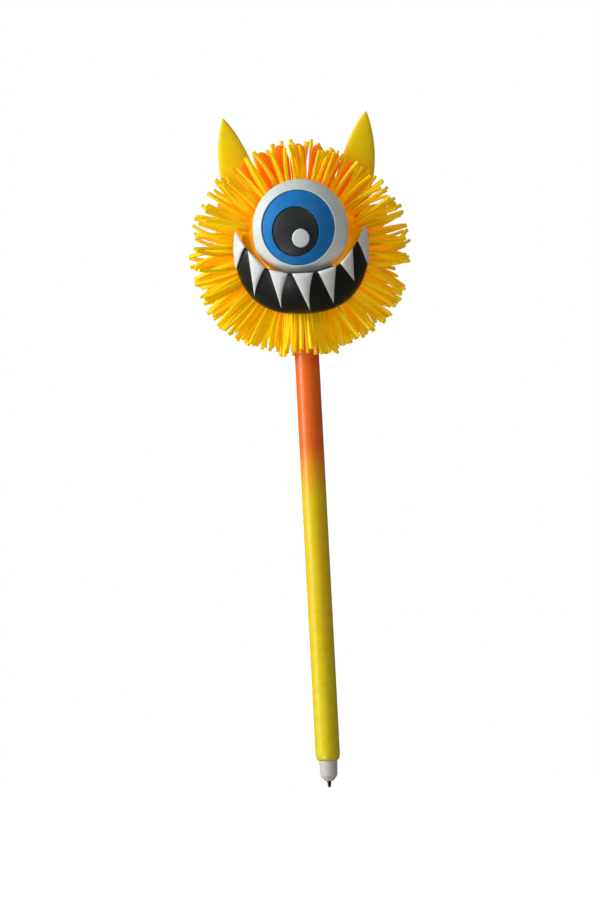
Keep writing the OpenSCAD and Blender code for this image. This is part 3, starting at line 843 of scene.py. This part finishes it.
class PEN_OT_strands(bpy.types.Operator):
    """Builds the rubber strands: front, rim, back and the fringe round the neck"""

    bl_idname = "monster_pen.strands"
    bl_label = "Strands"

    def execute(self, context):
        """Roots lie evenly over the ball, with more on the lower rim. Tips lean towards the nearest
        of a set of clump directions, then round the outline towards the middle of a lock. Paths that
        meet the face or the partings are left out."""
        head = context.scene.monster_pen_head
        rng = np.random.default_rng(17)
        centre = np.array([0, 0, BALL_Z])

        def spread(n, wobble):
            """Even directions: equal steps of depth along Y while turning by the golden angle."""
            k = np.arange(n) + 0.5
            y = -(1 - 2 * k / n)
            turn = k * np.pi * (3 - math.sqrt(5))
            flat = np.sqrt(1 - y * y)
            d = np.stack([flat * np.cos(turn), y, flat * np.sin(turn)], axis=1)
            d = d + rng.normal(0, wobble, (n, 3))
            return d / np.linalg.norm(d, axis=1, keepdims=True)

        extra = 170
        lower = rng.uniform(95, 265, extra) * np.pi / 180
        deep = rng.uniform(-0.12, 0.3, extra)
        flat = np.sqrt(1 - deep ** 2)
        rim = np.stack([flat * np.sin(lower), deep, flat * np.cos(lower)], axis=1)
        d = np.concatenate([spread(head.strand_count, 0.03), rim])
        clumps = spread(head.clump_count, 0.09)
        near = clumps[np.argmax(d @ clumps.T, axis=1)]
        level = np.exp(-(d[:, 2:] / 0.42) ** 2)
        pull = head.clump_pull * rng.uniform(0.5, 1.4, (len(d), 1)) * (1 + 1.1 * level)
        aim = d + pull * (near - d) + rng.normal(0, 0.02, d.shape)
        aim /= np.linalg.norm(aim, axis=1, keepdims=True)
        angle = np.arctan2(aim[:, 0], aim[:, 2])
        slot = np.floor(angle / LOCK_STEP).astype(int)
        lock = (slot + 0.5 + rng.uniform(-0.3, 0.3, 60)[slot % 60]) * LOCK_STEP
        hold = head.lock_pull * smooth(-np.abs(aim[:, 1]), -0.75, -0.35) * (0.35 + 0.65 * level[:, 0])
        angle = angle + hold * (lock - angle)
        flat = np.hypot(aim[:, 0], aim[:, 2])
        aim = np.stack([flat * np.sin(angle), aim[:, 1], flat * np.cos(angle)], axis=1)
        right, up = d[:, :1], d[:, 2:]
        outline = (0.992 - 0.008 * smooth(up, 0.4, 0.8) - 0.012 * right
                   - 0.028 * np.abs(right) * up - 0.06 * smooth(-up, 0.7, 0.97))
        reach = TIP_R * rng.uniform(0.955, 1.015, (len(d), 1)) * outline
        paths = strand_paths(d * (BALL_R - 0.4 * MM), d, aim * reach)
        paths = paths[clear_of_face(paths, head)]
        end = paths[:, -1]
        parted = np.any([np.abs(end[:, 0] / BARREL_R - at) < half for at, half in PARTINGS], axis=0)
        paths = paths[~(parted & (end[:, 1] < 0) & (end[:, 2] < -0.7 * BALL_R))]
        first = paths[:, 0] / np.linalg.norm(paths[:, 0], axis=1, keepdims=True)
        depth = np.degrees(np.arccos(-first[:, 1]))
        paths = paths + centre

        n = head.fringe_count
        turn = (np.arange(n) + rng.uniform(0.2, 0.8, n)) * 2 * np.pi / n
        side = np.stack([np.cos(turn), np.sin(turn), np.zeros(n)], axis=1)
        r0 = rng.uniform(6.3, 7.6, (n, 1)) * MM
        r1 = r0 + rng.uniform(0.2, 4.2, (n, 1)) * MM
        down = np.array([[0, 0, -1.0]])
        roots = side * r0 + down * np.sqrt(BALL_R ** 2 - r0 ** 2) - down * 0.4 * MM
        tips = side * r1 + down * (TIP_R * rng.uniform(0.90, 0.96, (n, 1)))
        fringe = strand_paths(roots, down + side * 0.1, tips) + centre

        thin = head.strand_radius
        made = [
            strand_mesh("strands_front", paths[depth < FRONT_DEG], thin, rng),
            strand_mesh("strands_rim", paths[(depth >= FRONT_DEG) & (depth < BACK_DEG)], thin, rng),
            strand_mesh("strands_back", paths[depth >= BACK_DEG], thin, rng),
            strand_mesh("strands_neck", fringe, thin, rng)]
        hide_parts("tuft_front_left", "tuft_front_top", "tuft_front_right")
        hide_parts("tuft_rim_left", "tuft_rim_right")
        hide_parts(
            *["tuft_mid_%d" % i for i in range(1, 7)],
            *["tuft_back_%d" % i for i in range(1, 5)], "tuft_rear")
        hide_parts("tuft_neck")
        c = context.scene.monster_pen_colours
        f = Finish("strand_rubber", 0.4)
        f.let_through(0.15, 0.002, (1.0, 0.7, 0.1)).set("Specular IOR Level", 0.2)
        along = f.waver(f.attribute("along"), 120, 2, 0.14)
        tint = f.ramp(along, (0.0, c.strand_root), (0.35, c.strand_mid), (0.8, c.strand_mid),
                      (1.0, c.strand_tip))
        tint = f.mix(f.value(f.attribute("tone"), 0.0, 0.3, 0.4, 0.0), tint, srgb(255, 170, 0))
        tint = f.mix(f.value(f.attribute("tone"), 0.75, 1.0, 0.0, 0.4), tint, srgb(252, 226, 10))
        # painted light: the strands glow with their own tint, so their shaded sides and undersides
        # look lit
        f.colour(tint).painted_glow(tint, 0.15)
        f.patchy(900, 2, 0.34, 0.5).grain(1800, 3, 0.25, 0.00005).on(*made)
        return {"FINISHED"}


class PEN_OT_horns(bpy.types.Operator):
    """Builds the two leaf-shaped horns"""

    bl_idname = "monster_pen.horns"
    bl_label = "Horns"

    def execute(self, context):
        """Rings between a leaf's two edges: each a flat squarish oval, thinner towards the tip."""
        t = 1 - (1 - np.linspace(0, 1, 46)) ** 1.6
        outer, inner = horn_edges(t)
        middle, half = (outer + inner) / 2, (outer - inner) / 2
        cx, cy = squircle(40, 2.7)
        thick = (HORN_BACK - HORN_FRONT) / 2 * (1 - 0.45 * t ** 5)
        deep = (HORN_BACK + HORN_FRONT) / 2
        rings = np.stack([
            middle[:, :1] + half[:, :1] * cx, deep + thick[:, None] * cy,
            middle[:, 1:] + half[:, 1:] * cx + BALL_Z], axis=-1)
        sunk = 0.88
        sink = rings[:1].copy()
        sink[..., 0] *= sunk
        sink[..., 2] = BALL_Z + (sink[..., 2] - BALL_Z) * sunk
        last = rings[-1:].copy()
        centre = last.mean(axis=1, keepdims=True)
        point = centre + (last - centre) * 0.45 + np.array([0, 0, 0.32 * MM])
        rings = capped(np.concatenate([sink, rings, point]))
        along = np.repeat(np.concatenate([[0, 0], t, [1, 1]]), 40)
        made = []
        for name, side in (("right", 1), ("left", -1)):
            obj = put_mesh("horn_leaf_" + name, rings * np.array([side, 1, 1]),
                           [grid(len(rings), 40)], "monster_head", along=along, crease=50)
            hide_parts("horn_" + name)
            made.append(obj)
        c = context.scene.monster_pen_colours
        f = soft_rubber("horn_rubber", c.horn, 0.44, 1300, 0.12)
        climb = f.waver(f.attribute("along"), 130, 3, 0.12)
        leaf = f.ramp(climb, (0.0, srgb(255, 150, 10)), (0.3, srgb(252, 184, 12)), (0.55, c.horn))
        leaf = f.mix(f.value(f.noise(240, 3), 0.4, 0.7, 0, 0.35), leaf, dim(c.horn, 0.85))
        # painted light: the horns glow faintly with their own tint, lifting their shaded sides
        f.colour(leaf).painted_glow(leaf, 0.05).on(*made)
        return {"FINISHED"}


class PEN_OT_crest(bpy.types.Operator):
    """Builds the seven flat crest petals"""

    bl_idname = "monster_pen.crest"
    bl_label = "Crest"

    def execute(self, context):
        """Rings along a tongue that widens from its root, then closes in a round end."""
        head = context.scene.monster_pen_head
        rng = np.random.default_rng(5)
        cx, cy = squircle(28, 3.0)
        made = []
        half, base, sunk = 2.5 * MM, 1.7 * MM, 0.8 * MM
        for i, extra in enumerate((0.0, 0.2, 0.5, 0.3, 0.2, -0.9, -1.0), 1):
            top = BALL_R + (14.0 + extra) * MM
            t = np.sin(np.linspace(0, np.pi / 2, 30))
            r = BALL_R - sunk + (top - BALL_R + sunk) * t
            turn_in = np.clip((r - (top - 1.5 * half)) / (1.5 * half), 0, 1)
            grow = smooth(r, BALL_R - 1 * MM, BALL_R + 9 * MM)
            w = (base + (half - base) * grow) * np.sqrt(np.clip(1 - turn_in ** 2, 0, None))
            w = np.maximum(w, 0.02 * MM)
            thick = (PETAL_BACK - PETAL_FRONT) / 2 * np.sqrt(np.clip(1 - turn_in ** 6, 0.01, None))
            deep = (PETAL_BACK + PETAL_FRONT) / 2 + rng.uniform(-0.5, 0.1) * MM * t ** 2
            curl = rng.uniform(-0.4, 0.4) * MM * np.sin(np.pi * t)
            x = curl[:, None] + w[:, None] * cx
            y = deep[:, None] + thick[:, None] * cy
            a = head.petal_lean + (i - 4) * head.petal_step
            rings = np.stack([x * math.cos(a) + r[:, None] * math.sin(a), y,
                              BALL_Z + r[:, None] * math.cos(a) - x * math.sin(a)], axis=-1)
            rings = capped(rings)
            obj = put_mesh("crest_leaf_%d" % i, rings, [grid(len(rings), 28)], "monster_head",
                           along=np.repeat(np.concatenate([[0], t, [1]]), 28), crease=50)
            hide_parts("crest_petal_%d" % i)
            made.append(obj)
        c = context.scene.monster_pen_colours
        f = soft_rubber("crest_rubber", c.petal, 0.46, 1300, 0.12)
        climb = f.waver(f.attribute("along"), 150, 3, 0.15)
        leaf = f.ramp(climb, (0.0, srgb(255, 118, 0)), (0.6, c.petal), (1.0, srgb(255, 134, 10)))
        # painted light: the petals glow with their own tint, lifting their shaded sides
        f.colour(leaf).painted_glow(leaf, 0.16).on(*made)
        return {"FINISHED"}


# ---- operators: the eye ----

def eye_plate(name, outer, inner, top, base, edge, rows=22):
    """A plate that follows the eyeball between two ovals, with rounded rims.

    outer and inner are (centre x, centre height, half width, half height); a point's place is a
    straight blend between the two ovals, and its depth is that of a sphere whose radius rises from
    base to top along a quarter circle at each rim. Without an inner oval the plate is a whole disc.
    """
    a = np.linspace(0, 2 * np.pi, 120, endpoint=False)
    ring = lambda o: np.stack([o[0] + o[2] * np.cos(a), o[1] + o[3] * np.sin(a)], axis=1)
    far = ring(outer)
    solid = inner is None
    near = np.repeat([[outer[0], outer[1]]], len(a), axis=0) if solid else ring(inner)
    width = np.linalg.norm(far - near, axis=1).mean()
    q = np.linspace(0, np.pi / 2, 7)
    cut = edge / width
    rim_t, rim_r = cut * (1 - np.cos(q)), top - edge + edge * np.sin(q)
    flat = np.linspace(cut, 1 if solid else 1 - cut, rows)[1:-1]
    if solid:
        t = np.concatenate([[0], rim_t, flat, [1, 1], [0.5]])
        r = np.concatenate([[base], rim_r, np.full(len(flat), top), [top, base], [base]])
    else:
        t = np.concatenate([[0], rim_t, flat, 1 - rim_t[::-1], [1, 0.5]])
        r = np.concatenate([[base], rim_r, np.full(len(flat), top), rim_r[::-1], [base, base]])
    place = far[None] * (1 - t)[:, None, None] + near[None] * t[:, None, None]
    x, z = place[..., 0], place[..., 1]
    y = dome_y(x, z, DOME_R - r[:, None])
    points = np.stack([x, y, z + BALL_Z + EYE_UP], axis=-1)
    return put_mesh(name, points, [grid(len(t), len(a), wrap_rows=True)], "monster_head")


class PEN_OT_eye(bpy.types.Operator):
    """Builds the domed eye with its sunk iris and pupil and its raised highlight"""

    bl_idname = "monster_pen.eye"
    bl_label = "Eye"

    def execute(self, context):
        """The dome: columns fan out from the middle. Each goes up the outer wall, over a rounded
        edge, in along the sphere to the iris's hole, over a second rounded edge and down to the
        recess's floor."""
        s = context.scene.monster_pen_face
        c = context.scene.monster_pen_colours
        floor = DOME_R - 1.4 * MM
        iris = (-0.7 * MM, -0.35 * MM, *s.iris_size)
        pupil = (-1.6 * MM, -1.6 * MM, *s.pupil_size)
        glint = (0.0, -3.9 * MM, *s.glint_size)
        a = np.linspace(0, 2 * np.pi, 160, endpoint=False)
        hx, hz = iris[0] + iris[2] * np.cos(a), iris[1] + iris[3] * np.sin(a)
        turn, hole = np.arctan2(hz, hx), np.hypot(hx, hz)
        edge, big, small = eye_edge(turn), 0.7 * MM, 0.4 * MM
        q = np.linspace(0, np.pi / 2, 8)[:, None]
        blend = np.linspace(0, 1, 20)[1:-1, None]
        out = np.concatenate([
            edge - big * (1 - np.cos(q)), (edge - big) * (1 - blend) + (hole + small) * blend,
            hole + small * (1 - np.sin(q))])
        drop = np.concatenate([big * (1 - np.sin(q)), blend * 0, small * (1 - np.cos(q))])
        x, z = out * np.cos(turn), out * np.sin(turn)
        y = dome_y(x, z) + drop
        wall = np.linspace(0, 1, 5)[:-1, None]
        wx, wz = np.repeat(x[:1], 4, axis=0), np.repeat(z[:1], 4, axis=0)
        wy = EYE_BACK * (1 - wall) + y[:1] * wall
        zero = hx[None] * 0
        points = np.concatenate([
            np.stack([zero, zero + EYE_BACK, zero], -1), np.stack([wx, wy, wz], -1),
            np.stack([x, y, z], -1),
            np.stack([hx, dome_y(hx, hz, DOME_R - floor), hz], -1)[None],
            np.stack([zero, zero + dome_y(0.0, 0.0, DOME_R - floor), zero], -1)])
        points = points + np.array([0, 0, BALL_Z + EYE_UP])
        white = put_mesh("eye_dome", points, [grid(len(points), len(a))], "monster_head", crease=45)
        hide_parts("eye_white")
        shrunk = lambda oval, by: (oval[0], oval[1], oval[2] - by, oval[3] - by)
        sit = floor + 0.03 * MM
        blue = eye_plate("eye_iris", shrunk(iris, 0.05 * MM), pupil, floor + 0.9 * MM, sit, 0.25 * MM)
        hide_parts("iris")
        black = eye_plate("eye_pupil", shrunk(pupil, 0.04 * MM), None, floor + 0.5 * MM, sit, 0.2 * MM)
        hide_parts("pupil")
        disc = eye_plate("eye_highlight", glint, None, floor + 1.2 * MM, floor + 0.5 * MM, 0.4 * MM)
        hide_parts("eye_glint")
        moulded_vinyl("eye_vinyl", c.eye, 0.36, 0.95).on(white)
        moulded_vinyl("iris_paint", c.iris, 0.5, 0.9).set("Specular IOR Level", 0.12).on(blue)
        moulded_vinyl("pupil_paint", c.pupil, 0.42, 0.82).on(black)
        moulded_vinyl("highlight_vinyl", srgb(226, 228, 230), 0.38, 0.93).on(disc)
        return {"FINISHED"}


# ---- operators: the mouth ----

class PEN_OT_mouth(bpy.types.Operator):
    """Builds the black crescent mouth"""

    bl_idname = "monster_pen.mouth"
    bl_label = "Mouth"

    def execute(self, context):
        """A grid from the upper edge to the lower: columns join the two edges, rows run corner to
        corner, the front lies on a sphere with rounded rims and the back is flat."""
        s = context.scene.monster_pen_face
        t = np.sin(np.linspace(-np.pi / 2, np.pi / 2, 97))
        upper = np.stack([MOUTH_CORNER * t, lip(MOUTH_CORNER * t)], axis=1)
        lower_x = MOUTH_HALF * np.sin(np.pi / 2 * t)
        lower = np.stack([lower_x, chin(lower_x)], axis=1)
        edge = 0.8 * MM
        q = np.linspace(0, np.pi / 2, 7)
        length = np.maximum(np.linalg.norm(lower - upper, axis=1), 3 * edge)[None, :]
        cut = (edge * (1 - np.cos(q)))[:, None] / length
        rise = np.concatenate([-edge * (1 - np.sin(q)), np.zeros(15), -edge * (1 - np.sin(q[::-1]))])
        inner = np.linspace(0, 1, 17)[1:-1, None] * (1 - 2 * cut[-1:]) + cut[-1:]
        row = np.concatenate([cut, inner, 1 - cut[::-1]])
        place = upper[None] * (1 - row[..., None]) + lower[None] * row[..., None]
        x, z = place[..., 0], place[..., 1]
        y = face_y(s, x, z, rise[:, None])
        front = np.stack([x, y, z], -1)
        back = np.stack([
            np.stack([lower[:, 0], np.full(len(t), MOUTH_BACK), lower[:, 1]], -1),
            np.stack([upper[:, 0], np.full(len(t), MOUTH_BACK), upper[:, 1]], -1)])
        rings = np.concatenate([front, back]).transpose(1, 0, 2) + np.array([0, 0, BALL_Z])
        rings = capped(rings)
        obj = put_mesh("mouth_plate", rings, [grid(len(rings), rings.shape[1])], "monster_head")
        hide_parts("mouth_base")
        c = context.scene.monster_pen_colours
        moulded_vinyl("mouth_vinyl", c.mouth, 0.36, 0.8).on(obj)
        return {"FINISHED"}


def tooth_mesh(name, left, right, sizes, node, turn=0.0):
    """Rings across a tooth from its root to its tip: the front of each is the upper half of a
    squarish oval that stands on the mouth's sphere, and its back is sunk a little into it. The
    front is turned by a slope across the tooth: a positive turn lifts its right edge."""
    count = len(left)
    t = np.linspace(0, 1, count)
    n = 15
    a = np.linspace(np.pi, 0, n)
    square = 2.6
    across = np.sign(np.cos(a)) * np.abs(np.cos(a)) ** (2 / square)
    up = np.abs(np.sin(a)) ** (2 / square)
    width = np.linalg.norm(right - left, axis=1)
    root = np.sqrt(np.clip(1 - (1 - np.clip(t / 0.12, 0, 1)) ** 2, 0.02, 1))
    body = np.clip(width / (3.2 * MM), 0, 1) ** 0.6 * root
    middle, half = (left + right) / 2, (right - left) / 2
    place = middle[:, None] + half[:, None] * across[None, :, None]
    rise = sizes.tooth_height * body[:, None] * up[None]
    rise = rise + abs(turn) * width[:, None] * (1 + np.sign(turn) * across[None]) / 2
    back = place[:, ::-1][:, [0, n // 2, n - 1]]
    x = np.concatenate([place[..., 0], back[..., 0]], axis=1)
    z = np.concatenate([place[..., 1], back[..., 1]], axis=1)
    h = np.concatenate([rise, np.full((count, 3), -0.35 * MM)], axis=1)
    rings = np.stack([x, face_y(sizes, x, z, h), z + BALL_Z], axis=-1)
    rings = capped(rings)
    obj = put_mesh(name, rings, [grid(len(rings), rings.shape[1])], "monster_head", crease=55)
    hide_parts(node)
    return obj


class PEN_OT_teeth(bpy.types.Operator):
    """Builds the five teeth and the two fangs"""

    bl_idname = "monster_pen.teeth"
    bl_label = "Teeth"

    def execute(self, context):
        """A tooth has a straight left edge and a right edge that sags inwards; a fang's outer edge
        follows the mouth's outline and its inner edge follows the lip, then turns to the tip."""
        s = context.scene.monster_pen_face
        t = np.linspace(0, 1, 26)[:, None]
        # left edge, right edge and tip as shares of the mouth's half width, reach, sag in millimetres
        shapes = (
            (-0.786, -0.545, -0.723, 0.92, 0.55), (-0.490, -0.214, -0.337, 0.90, 0.75),
            (-0.157, 0.155, 0.083, 0.95, 0.70), (0.223, 0.495, 0.432, 0.89, 0.10),
            (0.554, 0.750, 0.750, 0.73, 0.0))
        made = []
        for i, (a, b, c, reach, sag) in enumerate(shapes, 1):
            a, b, c = np.array([a, b, c]) * MOUTH_HALF
            tip = np.array([c, lip(c) + (chin(c) - lip(c)) * reach])
            start, finish = np.array([a, lip(a) - 0.1 * MM]), np.array([b, lip(b) - 0.1 * MM])
            left = start + (tip - start) * t
            right = finish + (tip - finish) * t - np.array([sag * MM, 0]) * 4 * t * (1 - t)
            turn = TOOTH_TURNS[i - 1]
            made.append(tooth_mesh("tooth_point_%d" % i, left, right, s, "tooth_%d" % i, turn))
        corner = MOUTH_CORNER
        for name, side, end in (("left", -1, -5.6), ("right", 1, -6.6)):
            end = end * MM
            waist = corner * 0.865
            outer = bezier([
                (corner + 0.1 * MM, MOUTH_HIGH), (MOUTH_HALF + 0.25 * MM, 4 * MM),
                (MOUTH_HALF + 0.15 * MM, -1.5 * MM), (MOUTH_HALF - 0.55 * MM, end)], t[:, 0])
            first = np.linspace(0, 1, 14)
            lip_x = corner + (waist - corner) * first
            along_lip = np.stack([lip_x, lip(lip_x)], 1)
            down_to_tip = bezier(
                [(waist, lip(waist)), (waist + 1.1 * MM, lip(waist) - 1.1 * MM),
                 (MOUTH_HALF - 1.8 * MM, end + 2.2 * MM), (MOUTH_HALF - 0.65 * MM, end)],
                np.linspace(0, 1, 13)[1:])
            inner = np.concatenate([along_lip, down_to_tip])
            left, right = (outer, inner) if side < 0 else (inner, outer)
            flip = np.array([side, 1])
            made.append(tooth_mesh("fang_point_" + name, left * flip, right * flip, s, "fang_" + name))
        f = moulded_vinyl("tooth_vinyl", context.scene.monster_pen_colours.tooth, 0.34, 0.96)
        f.let_through(0.4, 0.003, (1.0, 0.95, 0.9)).on(*made)
        return {"FINISHED"}


# ---- operator: the stage ----

class PEN_OT_stage(bpy.types.Operator):
    """Sets up the pale floor, the soft lights and the camera"""

    bl_idname = "monster_pen.stage"
    bl_label = "Stage"

    def execute(self, context):
        """The background is white to the camera; what it lights with is weaker, and half of that
        again in reflections. The floor only fills the view: it neither lights nor shades."""
        s = context.scene.monster_pen_stage
        world = bpy.data.worlds.new("studio")
        world.use_nodes = True
        nodes, links = world.node_tree.nodes, world.node_tree.links
        soft = nodes["Background"]
        soft.inputs["Color"].default_value = (1.0, 0.95, 0.9, 1)
        plain = nodes.new("ShaderNodeBackground")
        plain.inputs["Color"].default_value = (1, 1, 1, 1)
        rays, mixer = nodes.new("ShaderNodeLightPath"), nodes.new("ShaderNodeMixShader")
        links.new(rays.outputs["Is Camera Ray"], mixer.inputs["Fac"])
        calm = nodes.new("ShaderNodeMapRange")
        calm.inputs["To Min"].default_value = s.ambient
        calm.inputs["To Max"].default_value = s.ambient * 0.5
        links.new(rays.outputs["Is Glossy Ray"], calm.inputs["Value"])
        links.new(calm.outputs["Result"], soft.inputs["Strength"])
        links.new(soft.outputs["Background"], mixer.inputs[1])
        links.new(plain.outputs["Background"], mixer.inputs[2])
        links.new(mixer.outputs["Shader"], nodes["World Output"].inputs["Surface"])
        context.scene.world = world

        size = 6.0
        corners = [(-size, -size), (size, -size), (size, size), (-size, size)]
        mesh = bpy.data.meshes.new("floor")
        mesh.from_pydata([(x, y, FLOOR_Z) for x, y in corners], [], [(0, 1, 2, 3)])
        floor = bpy.data.objects.new("floor", mesh)
        context.scene.collection.objects.link(floor)
        paper = bpy.data.materials.new("pale_floor")
        paper.use_nodes = True
        shader = paper.node_tree.nodes["Principled BSDF"]
        shader.inputs["Base Color"].default_value = (0.9, 0.9, 0.9, 1)
        shader.inputs["Roughness"].default_value = 0.9
        shader.inputs["Specular IOR Level"].default_value = 0.0
        shader.inputs["Emission Color"].default_value = (1, 1, 1, 1)
        shader.inputs["Emission Strength"].default_value = 1.0
        mesh.materials.append(paper)
        floor.visible_diffuse = False
        floor.visible_glossy = False
        floor.visible_shadow = False

        def lamp(name, place, aim, power, width, tall, tint=(1, 1, 1)):
            """A soft rectangular light at a place, turned to face another."""
            light = bpy.data.lights.new(name, "AREA")
            light.shape = "RECTANGLE"
            light.size, light.size_y = width, tall
            light.energy = power
            light.color = tint
            obj = bpy.data.objects.new(name, light)
            way = np.array(aim) - np.array(place)
            obj.location = place
            pitch = math.atan2(math.hypot(way[0], way[1]), -way[2])
            obj.rotation_euler = (pitch, 0, math.atan2(way[1], way[0]) - math.pi / 2)
            context.scene.collection.objects.link(obj)

        middle = (0, 0, 0.13)
        lamp("key_left", (-0.95, -0.32, 0.48), middle, s.key_power, 0.5, 0.8, (0.95, 1.0, 1.0))
        lamp("fill_right", (0.5, -0.8, 0.85), middle, s.fill_power, 0.4, 0.4)
        lamp("fill_low", (-0.4, -0.5, -0.4), middle, s.low_power, 0.3, 0.3)

        camera = bpy.data.cameras.new("camera")
        camera.sensor_fit = "VERTICAL"
        camera.sensor_height = 24.0
        camera.lens = camera.sensor_height * s.distance / s.view_height
        camera.clip_end = 20
        view = bpy.data.objects.new("camera", camera)
        aim_x, aim_z = -3.9 * MM, 111.4 * MM
        view.location = (aim_x, -s.distance, aim_z)
        view.rotation_mode = "QUATERNION"
        view.rotation_quaternion = Quaternion((0, 1, 0), s.roll) @ Quaternion((1, 0, 0), math.pi / 2)
        context.scene.collection.objects.link(view)
        context.scene.camera = view
        context.scene.view_settings.view_transform = "Standard"
        context.scene.view_settings.look = "None"
        return {"FINISHED"}


class PEN_PT_panel(bpy.types.Panel):
    """Lists the sizes, the colours and one button for each piece"""

    bl_idname = "PEN_PT_panel"
    bl_label = "Monster Pen"
    bl_space_type = "VIEW_3D"
    bl_region_type = "UI"
    bl_category = "Monster Pen"

    def draw(self, context):
        """One button for each operator, then one box of settings for each group."""
        column = self.layout.column()
        for operator in OPERATORS:
            column.operator(operator.bl_idname)
        for holder in HOLDERS:
            group = getattr(context.scene, holder)
            box = self.layout.box()
            for label in group.bl_rna.properties.keys():
                if label not in ("name", "rna_type"):
                    box.prop(group, label)


HOLDERS = {
    "monster_pen": PenSizes, "monster_pen_head": HeadSizes, "monster_pen_face": FaceSizes,
    "monster_pen_colours": Colours, "monster_pen_stage": StageSettings}
OPERATORS = (
    PEN_OT_barrel, PEN_OT_nose, PEN_OT_inside, PEN_OT_skin, PEN_OT_strands, PEN_OT_horns, PEN_OT_crest,
    PEN_OT_eye, PEN_OT_mouth, PEN_OT_teeth, PEN_OT_stage)


def register():
    """Registers the groups, the operators and the panel, and adds the groups to the scene."""
    for group in HOLDERS.values():
        bpy.utils.register_class(group)
    for operator in OPERATORS:
        bpy.utils.register_class(operator)
    bpy.utils.register_class(PEN_PT_panel)
    for holder, group in HOLDERS.items():
        setattr(bpy.types.Scene, holder, PointerProperty(type=group))


def unregister():
    """Takes back what register did, in the opposite order."""
    for holder in HOLDERS:
        delattr(bpy.types.Scene, holder)
    bpy.utils.unregister_class(PEN_PT_panel)
    for operator in reversed(OPERATORS):
        bpy.utils.unregister_class(operator)
    for group in reversed(list(HOLDERS.values())):
        bpy.utils.unregister_class(group)


def main():
    register()
    for operator in OPERATORS:
        family, name = operator.bl_idname.split(".")
        getattr(getattr(bpy.ops, family), name)()


if __name__ == "__main__":
    main()
